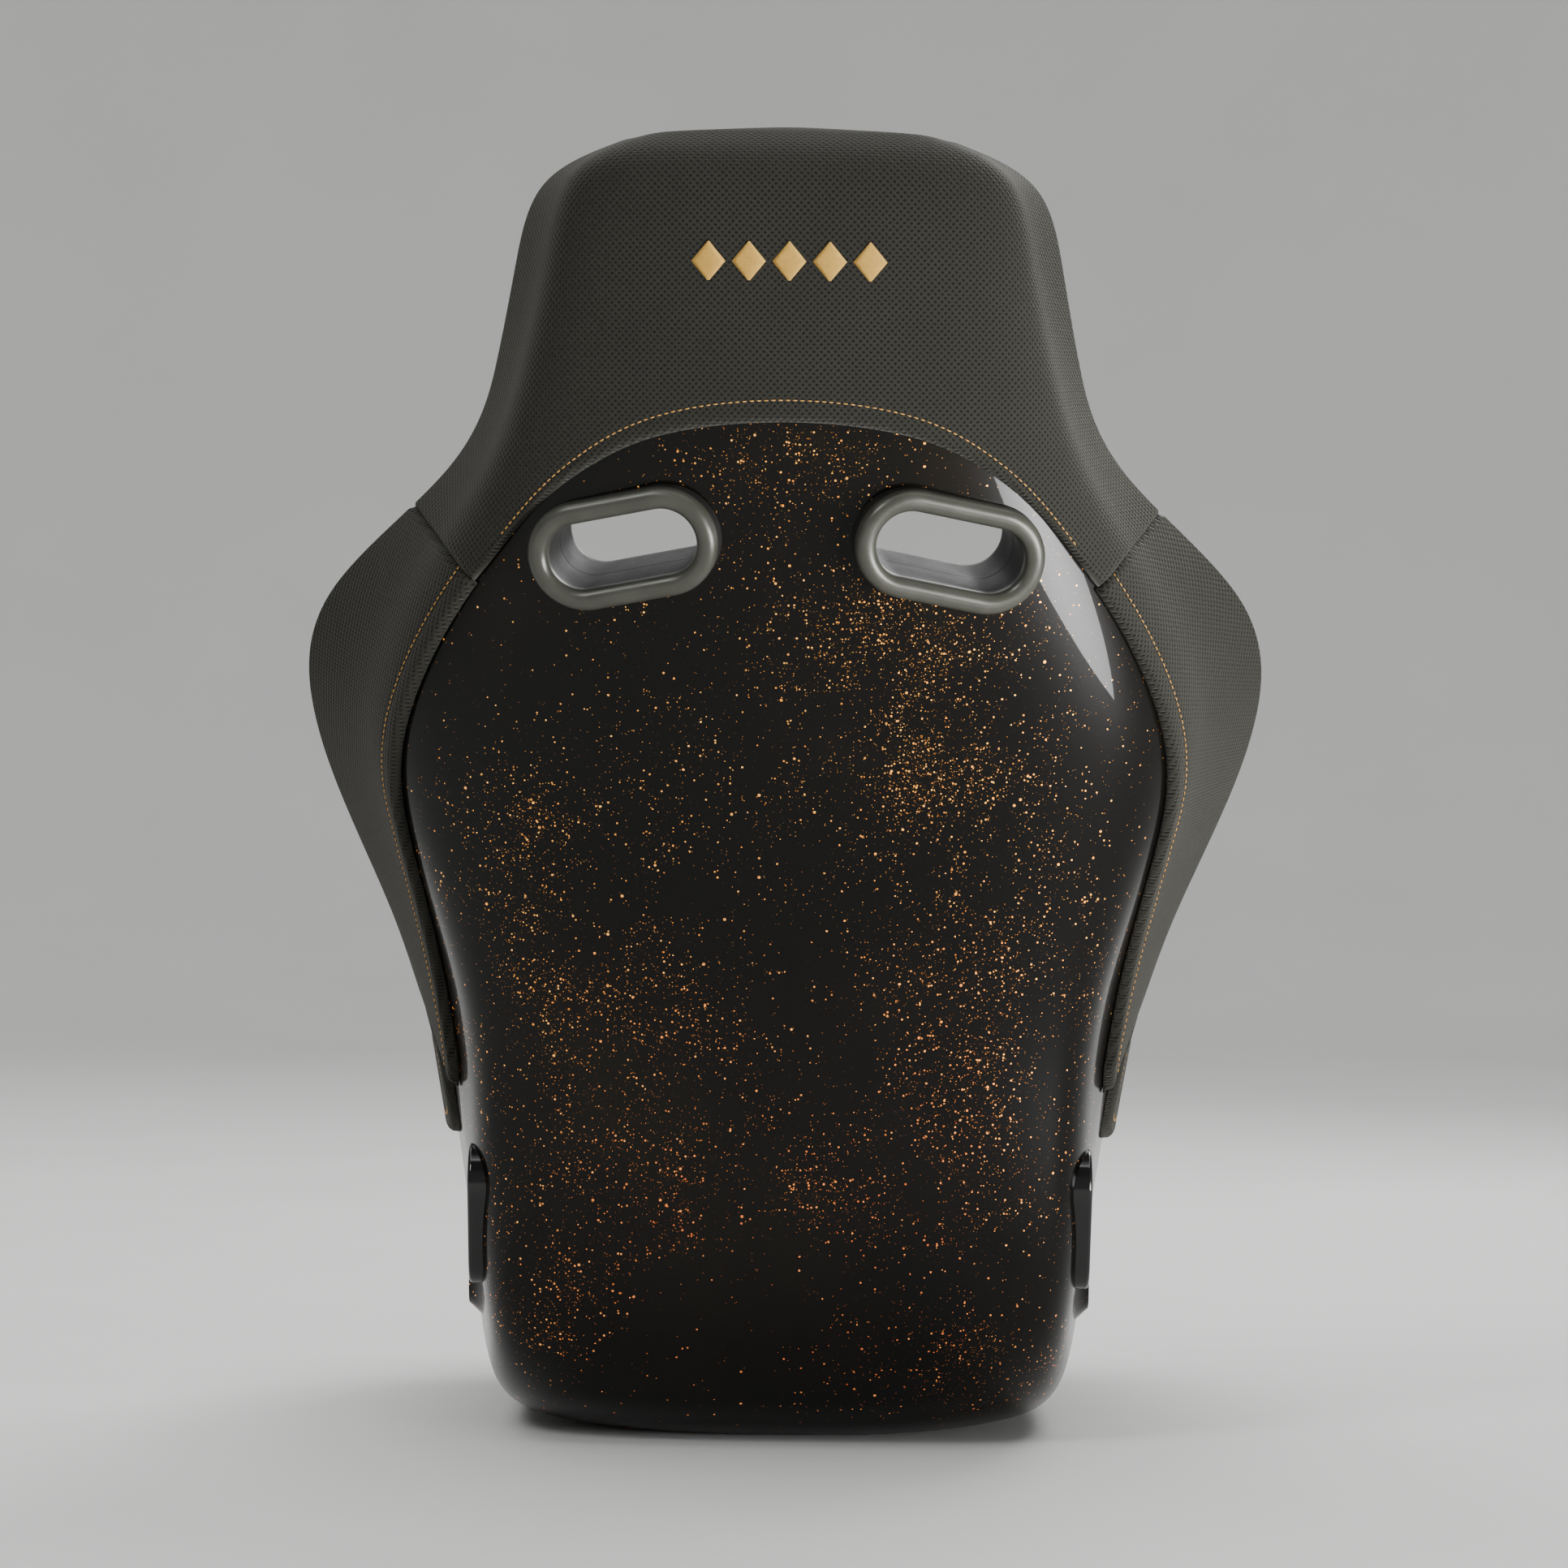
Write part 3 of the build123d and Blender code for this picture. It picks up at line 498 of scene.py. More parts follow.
def shell_material():
    """Clear-coated black glass fibre with clusters of gold and copper flake; the flakes glow a little, a painted
    sparkle.
    """
    material, shader, n = tree("flake_shell")
    p = n.position()
    parts = n.add("ShaderNodeSeparateXYZ", {0: p})
    x, z = parts.outputs[0], parts.outputs[2]
    crowd = n.math("MULTIPLY", z, 0.0)
    for *place_of, strength in CLUSTERS:
        crowd = n.math("ADD", crowd, n.math("MULTIPLY", blob(n, x, z, *place_of), strength))
    for place_of in BARE:
        bare = n.math("MULTIPLY", blob(n, x, z, *place_of), 0.85)
        crowd = n.math("MULTIPLY", crowd, n.math("SUBTRACT", 1.0, bare))
    clouds = n.ramp(n.noise(p, 16.0, 5.0, 0.68), 0.36, 0.66, 0.15, 1.5)
    crowd = n.math("MULTIPLY", crowd, clouds)
    fine, tone = flakes(n, p, 0.0019, n.math("ADD", n.math("MULTIPLY", crowd, 0.62), 0.012), 0.0, 0.10, 0.36)
    large, other = flakes(n, p, 0.0044, n.math("ADD", n.math("MULTIPLY", crowd, 0.45), 0.06), 3.1, 0.06, 0.22)
    dust, _ = flakes(n, p, 0.0011, n.math("ADD", n.math("MULTIPLY", crowd, 0.5), 0.012), 7.7, 0.12, 0.36)
    smoke = n.noise(p, 3.2, 5.0, 0.6)
    black = n.mix(n.ramp(smoke, 0.42, 0.75), (0.0016, 0.0014, 0.0011, 1), (0.0065, 0.0050, 0.0028, 1))
    middle = n.ramp(n.math("ABSOLUTE", x), 0.08, 0.2, 1.0, 0.35)
    red = n.math("MULTIPLY", n.ramp(z, 0.10, 0.48, 1.0, 0.05), middle)
    gold = n.mix(tone, (1.0, 0.34, 0.03, 1), (1.0, 0.52, 0.12, 1))
    copper = n.mix(tone, (0.85, 0.13, 0.03, 1), (1.0, 0.30, 0.06, 1))
    flake_colour = n.mix(n.math("MULTIPLY", red, 0.85), gold, copper)
    mask = n.math("MAXIMUM", n.math("MAXIMUM", fine, large), n.math("MULTIPLY", dust, 0.30))
    n.link(n.mix(mask, black, flake_colour), shader.inputs["Base Color"])
    n.link(n.math("MULTIPLY", mask, 0.75), shader.inputs["Metallic"])
    n.link(n.ramp(mask, 0, 1, 0.30, 0.42), shader.inputs["Roughness"])
    # Painted glint: the flakes glow in their own colour through Emission, most for the brightest tones, so they
    # sparkle without a lamp.
    n.link(flake_colour, shader.inputs["Emission Color"])
    painted_sparkle = n.math("POWER", n.math("MAXIMUM", tone, other), 3.0)
    n.link(n.math("MULTIPLY", mask, n.ramp(painted_sparkle, 0.1, 1.0, 0.08, 0.95)), shader.inputs["Emission Strength"])
    shader.inputs["Specular IOR Level"].default_value = 0.06
    shader.inputs["Coat Weight"].default_value = 0.5
    shader.inputs["Coat Roughness"].default_value = 0.02
    shader.inputs["Coat IOR"].default_value = 1.32
    ripple = n.add("ShaderNodeBump", {"Height": n.noise(p, 26.0, 2.0), "Strength": 0.012, "Distance": 0.0015})
    n.link(ripple.outputs[0], shader.inputs["Coat Normal"])
    return material


def bezel_material():
    """Satin olive-grey moulding; its sleeve, between the two rings, is coloured nearly black as painted shade inside
    the tunnel.
    """
    material, shader, n = tree("harness_bezel")
    p = n.position()
    origin, _, normal = tunnel_frames(1)[0]
    parts = n.add("ShaderNodeSeparateXYZ", {0: p})
    mirrored = n.add("ShaderNodeCombineXYZ", {0: n.math("ABSOLUTE", parts.outputs[0]), 1: parts.outputs[1],
                                              2: parts.outputs[2]}).outputs[0]
    away = n.add("ShaderNodeVectorMath", {0: mirrored, 1: tuple(origin * MM)}, operation="SUBTRACT").outputs[0]
    depth = n.add("ShaderNodeVectorMath", {0: away, 1: tuple(normal)}, operation="DOT_PRODUCT").outputs["Value"]
    # Painted shade: deep in the tunnel the sleeve is coloured nearly black, rougher and less metallic, as if in
    # shadow.
    sleeve_shade = n.math("MULTIPLY", n.ramp(depth, 0.0005, 0.0045, 1.0, 0.0),
                    n.ramp(depth, -(HARNESS_DEPTH + 4) * MM, -HARNESS_DEPTH * MM))
    marks = n.noise(p, 34.0, 4.0, 0.65)
    ring = n.mix(n.ramp(marks, 0.3, 0.75), (0.050, 0.051, 0.041, 1), (0.064, 0.064, 0.053, 1))
    # the nearly black colour of the sleeve is painted shade, not the moulding's own colour
    n.link(n.mix(sleeve_shade, ring, (0.005, 0.005, 0.0045, 1)), shader.inputs["Base Color"])
    rough = n.math("ADD", n.ramp(marks, 0.3, 0.75, 0.30, 0.42), n.math("MULTIPLY", sleeve_shade, 0.25))
    n.link(rough, shader.inputs["Roughness"])
    n.link(n.math("MULTIPLY", n.math("SUBTRACT", 1.0, sleeve_shade), 0.3), shader.inputs["Metallic"])
    grain = n.noise(p, 1800.0, 2.0, 0.6)
    n.link(n.add("ShaderNodeBump", {"Height": grain, "Strength": 0.3, "Distance": 0.00005}).outputs[0],
           shader.inputs["Normal"])
    shader.inputs["Specular IOR Level"].default_value = 0.35
    return material


def plastic_material(name, colour, rough, grain=1800.0, depth=0.00005, metallic=0.0):
    """A moulded satin plastic or rubber: fine spark-eroded grain, with handling marks in its gloss."""
    material, shader, n = tree(name)
    p = n.position()
    fine = n.noise(p, grain, 2.0, 0.6)
    marks = n.noise(p, 34.0, 4.0, 0.65)
    pale = tuple(min(1.0, c * 1.35) for c in colour)
    n.link(n.mix(n.ramp(marks, 0.3, 0.75), (*colour, 1), (*pale, 1)), shader.inputs["Base Color"])
    n.link(n.ramp(marks, 0.3, 0.75, rough - 0.05, rough + 0.08), shader.inputs["Roughness"])
    n.link(n.add("ShaderNodeBump", {"Height": fine, "Strength": 0.3, "Distance": depth}).outputs[0],
           shader.inputs["Normal"])
    shader.inputs["Metallic"].default_value = metallic
    return material


def steel_material():
    material, shader, n = tree("zinc_steel")
    p = n.position()
    stretched = n.add("ShaderNodeVectorMath", {0: p, 1: (1.0, 12.0, 1.0)}, operation="MULTIPLY").outputs[0]
    brushed = n.noise(stretched, 900.0, 2.0, 0.6)
    bloom = n.noise(p, 40.0, 3.0)
    n.link(n.mix(bloom, (0.52, 0.52, 0.50, 1), (0.72, 0.72, 0.69, 1)), shader.inputs["Base Color"])
    n.link(n.ramp(brushed, 0.2, 0.8, 0.26, 0.46), shader.inputs["Roughness"])
    n.link(n.add("ShaderNodeBump", {"Height": brushed, "Strength": 0.2, "Distance": 0.0001}).outputs[0],
           shader.inputs["Normal"])
    shader.inputs["Metallic"].default_value = 1.0
    return material


def thread_material(name, dark, light, rough=0.42):
    """Glossy twisted thread."""
    material, shader, n = tree(name)
    p = n.position()
    strands = n.add("ShaderNodeTexWave", {"Vector": p, "Scale": 900.0, "Distortion": 2.0, "Detail": 2.0},
                    bands_direction="DIAGONAL").outputs["Fac"]
    patch = n.noise(p, 300.0, 2.0)
    n.link(n.mix(n.math("ADD", n.math("MULTIPLY", strands, 0.6), n.math("MULTIPLY", patch, 0.4)),
                 (*dark, 1), (*light, 1)), shader.inputs["Base Color"])
    n.link(n.add("ShaderNodeBump", {"Height": strands, "Strength": 0.5, "Distance": 0.0002}).outputs[0],
           shader.inputs["Normal"])
    shader.inputs["Roughness"].default_value = rough
    shader.inputs["Sheen Weight"].default_value = 0.1
    shader.inputs["Metallic"].default_value = 0.25
    return material


YARN, YARN_GAP = (0.0115, 0.0112, 0.0080), (0.0010, 0.0010, 0.0008)
KNIT = knit_material("knit_back", YARN, YARN_GAP)
KNIT_TURNED = knit_material("knit_wing", YARN, YARN_GAP, turn=0.6)
GOLD = thread_material("gold_thread", (0.34, 0.18, 0.02), (0.80, 0.50, 0.10))
STITCH = thread_material("stitch_thread", (0.42, 0.19, 0.025), (0.80, 0.42, 0.08))
SEAT, CUSHION = "seat", "seat_cushion"


def dress(piece, material, body, slot, *nodes):
    piece.data.materials.append(material)
    face_outwards(piece)
    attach(piece, body)
    if nodes:
        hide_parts(*nodes)
    return piece


# ---------------------------------------------------------------- stitches
def stitches(name, line, normals, body=SEAT, pitch=4.5, length=3.3, thick=0.42):
    """A row of short threads along a line of points, each dipping into the cloth at its ends."""
    travel = lengths(line[:, None, :], 0)[:, 0]
    count = int(travel[-1] / (pitch * MM))
    verts, faces = [], []
    rings = np.linspace(-0.5, 0.5, 6)
    turn = np.linspace(0, 2 * math.pi, 7)[:-1]
    for k in range(count):
        middle = (k + 0.5) * pitch * MM
        at = middle + rings * length * MM
        at = np.stack([np.interp(at, travel, line[:, i]) for i in range(3)], -1)
        normal = np.array([np.interp(middle, travel, normals[:, i]) for i in range(3)])
        normal /= np.linalg.norm(normal)
        ahead = (at[-1] - at[0]) / np.linalg.norm(at[-1] - at[0])
        side = np.cross(ahead, normal)
        first = len(verts)
        for r, centre in zip(rings, at):
            size = thick * MM * math.sqrt(max(0.08, 1 - (2 * r) ** 2))
            lift = centre + normal * (0.35 - 1.5 * (2 * r) ** 4 * 0.5) * MM
            for a in turn:
                verts.append(lift + side * math.cos(a) * size + normal * math.sin(a) * size * 0.75)
        for ring in range(len(rings) - 1):
            for a in range(6):
                b = (a + 1) % 6
                low, high = first + ring * 6, first + (ring + 1) * 6
                faces.append([low + a, low + b, high + b, high + a])
        faces.append([first + a for a in reversed(range(6))])
        faces.append([first + (len(rings) - 1) * 6 + a for a in range(6)])
    piece = new_mesh(name, np.array(verts), faces)
    return dress(piece, STITCH, body, "gold_thread")


def grid_normals(points):
    return np.cross(np.gradient(points, axis=1), np.gradient(points, axis=0))


def unit(vectors):
    return vectors / np.maximum(np.linalg.norm(vectors, axis=-1, keepdims=True), 1e-12)


def line_across(points, normals, distance, from_end=False):
    """The line on a grid at a distance in millimetres from its first (or last) row, with its normals."""
    rows = lengths(points, 0)
    rows = rows[-1:] - rows if from_end else rows
    order = slice(None, None, -1) if from_end else slice(None)
    at = [[np.interp(distance * MM, rows[order, j], data[order, j, i]) for i in range(3)]
          for data in (points, normals) for j in range(points.shape[1])]
    at = np.array(at).reshape(2, points.shape[1], 3)
    return at[0], at[1]


# ---------------------------------------------------------------- outside fabric: head, wings and thigh sides
def smooth_arch():
    """The arch's edge as closely spaced half-widths and heights."""
    t = np.linspace(0, len(ARCH) - 1, 200)
    x = np.clip(spline(ARCH[:, 0], t, np.array(-ARCH[1, 0])), 0, None)
    return x, spline(ARCH[:, 1], t, np.array(ARCH[1, 1]))


ARCH_X, ARCH_Z = smooth_arch()
SEAM_SLOPE = (SEAM_HIGH[1] - SEAM_LOW[1]) / (SEAM_HIGH[0] - SEAM_LOW[0])


def seam_height(x):
    return SEAM_LOW[1] + (np.abs(x) - SEAM_LOW[0]) * SEAM_SLOPE


def arch_share(u):
    """Where the arch's edge crosses the cuts at u, as m."""
    low, high = np.zeros_like(u), np.ones_like(u)
    for _ in range(26):
        middle = (low + high) / 2
        point = shell_surface(u, middle, SKIN_GAP + SKIN) / MM
        inside = point[..., 0] < np.interp(point[..., 2], ARCH_Z[::-1], ARCH_X[::-1])
        low, high = np.where(inside, middle, low), np.where(inside, high, middle)
    return low


def head_bottom(w):
    """The cut u where a column of the head's cover begins, on the arch's edge or the seam with a wing."""
    low, high = np.full_like(w, 9.0), np.full_like(w, 16.0)
    for _ in range(30):
        middle = (low + high) / 2
        x, _, z = np.moveaxis(outside_surface(middle, w, SKIN_GAP + SKIN) / MM, -1, 0)
        on_arch = np.interp(np.abs(x), ARCH_X[:110], ARCH_Z[:110])
        below = z < np.maximum(on_arch * (np.abs(x) < 206), seam_height(x) * (np.abs(x) > 196))
        low, high = np.where(below, middle, low), np.where(below, high, middle)
    return high


ARCH_ROUND = 5.5
EDGE_CURL = 4.6  # how much longer the cloth is than the flat distance from its rounded edge


def groove(distance, at, depth, width=1.4):
    return depth * np.exp(-((distance / MM - at) / width) ** 2)


def make_head():
    over_rim = np.linspace(1, 1 + WRAP, 8)[1:]
    columns = np.concatenate([-over_rim[::-1], np.linspace(-1, 1, 119), over_rim])
    bottom = head_bottom(columns)
    rows = ease(84, 0.05, 8)
    u = bottom + (CROWN - bottom) * rows[:, None]
    w = np.broadcast_to(columns, u.shape)
    full = SKIN_GAP + SKIN
    flat = outside_surface(u, w, np.full(u.shape, full))
    on_arch = np.clip((207 - np.abs(flat[:1, :, 0]) / MM) / 6, 0, 1)
    padded_edge, seam_edge = rounding(flat, (ARCH_ROUND, 0, 2.5, 2.5)), rounding(flat, (1.6, 0, 2.5, 2.5))
    edge = padded_edge * on_arch + seam_edge * (1 - on_arch)
    stitch = groove(lengths(flat, 0), 13.0, 0.9) * on_arch
    height = np.maximum(full - edge - stitch, 0.5)
    top = outside_surface(u, w, height)
    base = outside_surface(u, w, np.full(u.shape, 0.4))
    cap_top, cap_base = crown_cap(columns, top[-1], base[-1])
    cloth = weave(u, w)
    over = lengths(np.concatenate([top[-1:], cap_top]), 0)[1:]
    over = np.stack([np.broadcast_to(cloth[-1, :, 0], over.shape), cloth[-1, :, 1] + over], -1)
    cloth = np.concatenate([cloth, over])
    top, base = np.concatenate([top, cap_top]), np.concatenate([base, cap_base])
    piece = closed_mesh("rear_head_fabric", top, base, cloth=cloth)
    dress(piece, KNIT, SEAT, "knit_fabric", "rear_head_cover")
    normals = -unit(grid_normals(top))
    line, away = line_across(top, normals, 13.0 + EDGE_CURL)
    inner = np.abs(line[:, 0]) < 0.193
    return line[inner], away[inner]


def crown_cap(columns, start, start_base):
    """Rows that carry the head's cover over the top of the head to the front panel's edge."""
    steps = np.linspace(0, 1, 16)[1:, None, None]
    m = np.clip(np.abs(columns) / (1 + WRAP), 0, 1) * np.sign(columns)
    end = pad_surface(np.full(columns.shape, CROWN - 0.12), m, np.full(columns.shape, -1.0))
    full = np.full(columns.shape, SKIN_GAP + SKIN)
    near = outside_surface(np.full(columns.shape, CROWN - 0.05), columns, full)
    leave = unit(start - near)
    front = pad_surface(np.full(columns.shape, CROWN - 0.3), m, np.full(columns.shape, -1.0))
    arrive = unit(end - front)
    reach = np.linalg.norm(end - start, axis=-1, keepdims=True) * 0.42
    a, b, c, d = start, start + leave * reach, end + arrive * reach, end
    rest = 1 - steps
    rows = a * rest**3 + 3 * b * steps * rest**2 + 3 * c * steps**2 * rest + d * steps**3
    under = start_base + (end - start_base) * steps - Vector((0, 0, 0.004))
    return rows, np.minimum(under, rows - np.array([0, 0, 0.0015]))


def make_wing(side):
    """One wing's cover: from its foot to the seam with the head, between the arch's edge and the rim."""
    across = np.concatenate([ease(52, 0.09, 9) , 1 + np.linspace(0, 1, 9)[1:]])
    share = np.minimum(across, 1)
    wrap = np.maximum(across - 1, 0) * WRAP
    low, high = np.full(across.shape, 9.0), np.full(across.shape, 14.0)
    for _ in range(30):
        middle = (low + high) / 2
        edge = arch_share(middle)
        w = edge + (1 - edge) * share + wrap
        point = outside_surface(middle, w, np.full(across.shape, SKIN_GAP + SKIN)) / MM
        below = point[..., 2] < seam_height(point[..., 0])
        low, high = np.where(below, middle, low), np.where(below, high, middle)
    u = WING_BOTTOM + (high - WING_BOTTOM) * ease(110, 0.02, 5)[:, None]
    edge = arch_share(u)
    w = edge + (1 - edge) * share + wrap
    flat = outside_surface(u, w, np.full(u.shape, SKIN_GAP + SKIN))
    drop = rounding(flat, (5.0, 1.6, ARCH_ROUND, 2.5)) + groove(lengths(flat, 1), 13.0, 0.9)
    top = outside_surface(u, w, np.maximum(SKIN_GAP + SKIN - drop, 0.5))
    base = outside_surface(u, w, np.full(u.shape, 0.4))
    mirrored = np.array([side, 1, 1])
    name = "left" if side > 0 else "right"
    cloth = weave(u, w) * mirrored[:2]
    piece = closed_mesh(f"{name}_wing_fabric", top * mirrored, base * mirrored, cloth=cloth)
    dress(piece, KNIT_TURNED, SEAT, "knit_fabric", f"{name}_wing_cover")
    normals = unit(grid_normals(top))
    turned = top.transpose(1, 0, 2), normals.transpose(1, 0, 2)
    line, away = line_across(*turned, 13.0 + EDGE_CURL)
    centre = np.array([0, -0.1, 0.45])
    away = away * np.sign(np.einsum("ij,ij->i", away, line - centre))[:, None]
    return line * mirrored, away * mirrored


def make_side(side):
    """The cover over a thigh bolster's rim and the upper part of the shell's side."""
    across = np.concatenate([SIDE_FROM + (1 - SIDE_FROM) * ease(30, 0.12, 7), 1 + np.linspace(0, WRAP, 9)[1:]])
    u = np.repeat((SIDE_FRONT + (SIDE_BACK - SIDE_FRONT) * ease(90, 0.02, 6))[:, None], len(across), 1)
    w = np.broadcast_to(across, u.shape)
    flat = outside_surface(u, w, np.full(u.shape, SKIN_GAP + SKIN))
    drop = rounding(flat, (6.5, 6.5, 7.0, 2.5)) + groove(lengths(flat, 1), 13.0, 0.9)
    top = outside_surface(u, w, np.maximum(SKIN_GAP + SKIN - drop, 0.5))
    base = outside_surface(u, w, np.full(u.shape, 0.4))
    mirrored = np.array([side, 1, 1])
    name = "left" if side > 0 else "right"
    cloth = weave(u, w) * mirrored[:2]
    piece = closed_mesh(f"{name}_side_fabric", top * mirrored, base * mirrored, cloth=cloth)
    dress(piece, KNIT_TURNED, SEAT, "knit_fabric", f"{name}_side_cover")
    line, _ = line_across(top.transpose(1, 0, 2), top.transpose(1, 0, 2), 13.0 + EDGE_CURL)
    away = np.repeat([[1.0, 0, 0]], len(line), 0)
    stitches(f"{name}_side_topstitch", line[4:-4] * mirrored, away[4:-4] * mirrored)


# ---------------------------------------------------------------- pads facing the sitter
def centre_half(u):
    return CENTRE_PAD_SHARE * station(u)["inner"]


def pad_grid(u0, u1, low, high, rows, columns):
    """Parameters of a pad between two cuts. low and high give its half-widths at u, or are None for the rim."""
    u = np.repeat((u0 + (u1 - u0) * ease(rows, 0.04, 6))[:, None], columns, 1)
    ends = [np.sign(edge(u[:, 0])) * share_at(pad_control, u[:, 0], np.abs(edge(u[:, 0]))) if edge else np.ones(rows)
            for edge in (low, high)]
    v = ends[0][:, None] + (ends[1] - ends[0])[:, None] * ease(columns, 0.05, 6)
    return u, v


def make_pad(name, u, v, radii, crown, body, nodes, cap=5.0, channels=(), gap=1.2, insert=None,
             mirrored=False, cutters=()):
    """A crowned pad with rounded edges, blown up as cloth, then with its sewn channels pulled down."""
    face = pad_surface(u, v, np.zeros(u.shape))
    rows, columns = lengths(face, 0), lengths(face, 1)
    along_share = rows / rows[-1:]
    across_share = columns / columns[:, -1:]
    arch_along, arch_across = [(4 * share * (1 - share)) ** 0.5 for share in (along_share, across_share)]
    crowned = crown * arch_along * arch_across
    top = pad_surface(u, v, crowned - rounding(face, radii) - 1.0)
    base = pad_base(u, v, gap)
    flip = np.array([-1, 1, 1]) if mirrored else np.array([1, 1, 1])
    piece = closed_mesh(name, top * flip, base * flip, walls=4)
    inflate(piece, cap)
    co = vertices(piece)
    count = piece["top_count"]
    face = co[:count].reshape(*u.shape, 3)
    normals = unit(grid_normals(face))
    inward = -normals * np.sign((normals * (top * flip - base * flip)).sum(-1, keepdims=True))
    inside = np.ones(u.shape) if insert is None else insert(along_share, across_share)
    pull = np.zeros(u.shape)
    for at in channels:
        distance = (along_share - at) * rows[-1:]
        pull = np.maximum(pull, groove(distance, 0.0, 4.2, 5.0) * inside)
    if insert is not None:
        gy, gx = np.gradient(inside)
        pull = np.maximum(pull, 2.6 * np.clip(np.hypot(gx, gy) * 4, 0, 1))
    face = face + inward * pull[..., None] * MM
    co[:count] = face.reshape(-1, 3)
    set_vertices(piece, co)
    face_outwards(piece)
    if cutters:
        cut(piece, cutters)
    dress(piece, KNIT, body, "knit_fabric", *nodes)
    return face, -inward


def oval_cutter(frame_of, size, low, high, grow):
    """A prism of oval section along a frame (origin, long direction, normal), in millimetres."""
    origin, length_way, normal = [np.array(v, float) for v in frame_of]
    width_way = np.cross(normal, length_way)
    length, width = size[0] + 2 * grow, size[1] + 2 * grow
    turns = np.linspace(0, 2 * math.pi, 49)[:-1] + 0.01
    a = np.cos(turns) * width / 2 + np.sign(np.cos(turns)) * (length - width) / 2
    b = np.sin(turns) * width / 2
    ring = origin + a[:, None] * length_way + b[:, None] * width_way
    verts = np.concatenate([ring + normal * low, ring + normal * high]) * MM
    count = len(turns)
    faces = [[k, (k + 1) % count, count + (k + 1) % count, count + k] for k in range(count)]
    faces += [list(reversed(range(count))), list(range(count, 2 * count))]
    around = np.arange(count) * 5.0
    uv = np.concatenate([np.stack([around, np.full(count, end)], -1) for end in (low, high)]) * MM
    cutter = new_mesh("cutter", verts, faces, uv)
    face_outwards(cutter)
    return cutter


def cut(piece, cutters, additions=()):
    """Joins the additions to a piece and takes the cutters out of it, for good."""
    for other in (*additions, *cutters):
        step = piece.modifiers.new("cut", "BOOLEAN")
        step.operation = "DIFFERENCE" if other in cutters else "UNION"
        step.solver, step.object = "EXACT", other
    graph = bpy.context.evaluated_depsgraph_get()
    graph.update()
    mesh = bpy.data.meshes.new_from_object(piece.evaluated_get(graph))
    piece.modifiers.clear()
    piece.data = mesh
    for other in (*additions, *cutters):
        bpy.data.objects.remove(other)


def tunnel_frames(side):
    """Frames of one side's harness tunnel: the rear ring's and the front ring's, as in the CAD model."""
    drop, splay, roll = [math.radians(a) for a in (HARNESS_DROP, HARNESS_SPLAY, HARNESS_ROLL)]
    normal = np.array([math.sin(splay), math.cos(splay) * math.cos(drop), -math.cos(splay) * math.sin(drop)])
    outer_end = np.array([math.cos(roll), 0, -math.sin(roll)])
    length_way = outer_end - normal * (outer_end @ normal)
    length_way /= np.linalg.norm(length_way)
    u = np.linspace(LUMBAR_TOP, 16, 400)
    line = shell_surface(u, share_at(shell_control, u, np.full(u.shape, HARNESS_X)), np.zeros(u.shape)) / MM
    origin = np.array([HARNESS_X, np.interp(HARNESS_Z, line[:, 2], line[:, 1]), HARNESS_Z])
    flip = np.array([side, 1, 1])
    rear = (origin * flip, length_way * flip, normal * flip)
    front = ((origin - normal * HARNESS_DEPTH) * flip, length_way * flip, -normal * flip)
    return rear, front


def harness_tunnels():
    return [oval_cutter(tunnel_frames(side)[0], BEZEL_OPENING, -120, 30, SLEEVE_ROOM) for side in (1, -1)]


def harness_cutters():
    return harness_tunnels() + [oval_cutter(tunnel_frames(side)[1], BEZEL, 0, 60, 0.8) for side in (1, -1)]


def lap_cutters(side):
    lean = math.radians(LAP_LEAN)
    frame_of = ((side * LAP_X, *LAP_CENTRE), (0, math.cos(lean), math.sin(lean)), (side, 0, 0))
    return [oval_cutter(frame_of, LAP_OPENING, -90, 30, SLEEVE_ROOM)]


CROTCH_FRAME = ((0, CROTCH_Y, CROTCH_Z), (1, 0, 0), (0, 0, 1))


def crotch_tunnel():
    return oval_cutter(CROTCH_FRAME, CROTCH_OPENING, -120, 30, SLEEVE_ROOM)


def crotch_cutters():
    return [crotch_tunnel(), oval_cutter(CROTCH_FRAME, CROTCH_RING, -0.5, 40, 0.8)]


def both_covers(base):
    return [f"{base}_foam", f"{base}_cover"]


def box_insert(margin_along, margin_across):
    """1 inside a sewn centre panel, 0 outside it, with its seam where it changes."""

    def inside(a, b):
        steps = [(a - margin_along), (1 - margin_along - a), (b - margin_across), (1 - margin_across - b)]
        return np.clip(np.minimum.reduce(steps) / 0.012 + 0.5, 0, 1)

    return inside


def edge_stitch(name, face, away, distance, body, ends=4):
    """Gold topstitch inside a pad's left and right edges."""
    for tag, grid, normals in (("a", face, away), ("b", face[:, ::-1], away[:, ::-1])):
        line, out = line_across(grid.transpose(1, 0, 2), normals.transpose(1, 0, 2), distance)
        stitches(f"{name}_topstitch_{tag}", line[ends:-ends], out[ends:-ends], body)


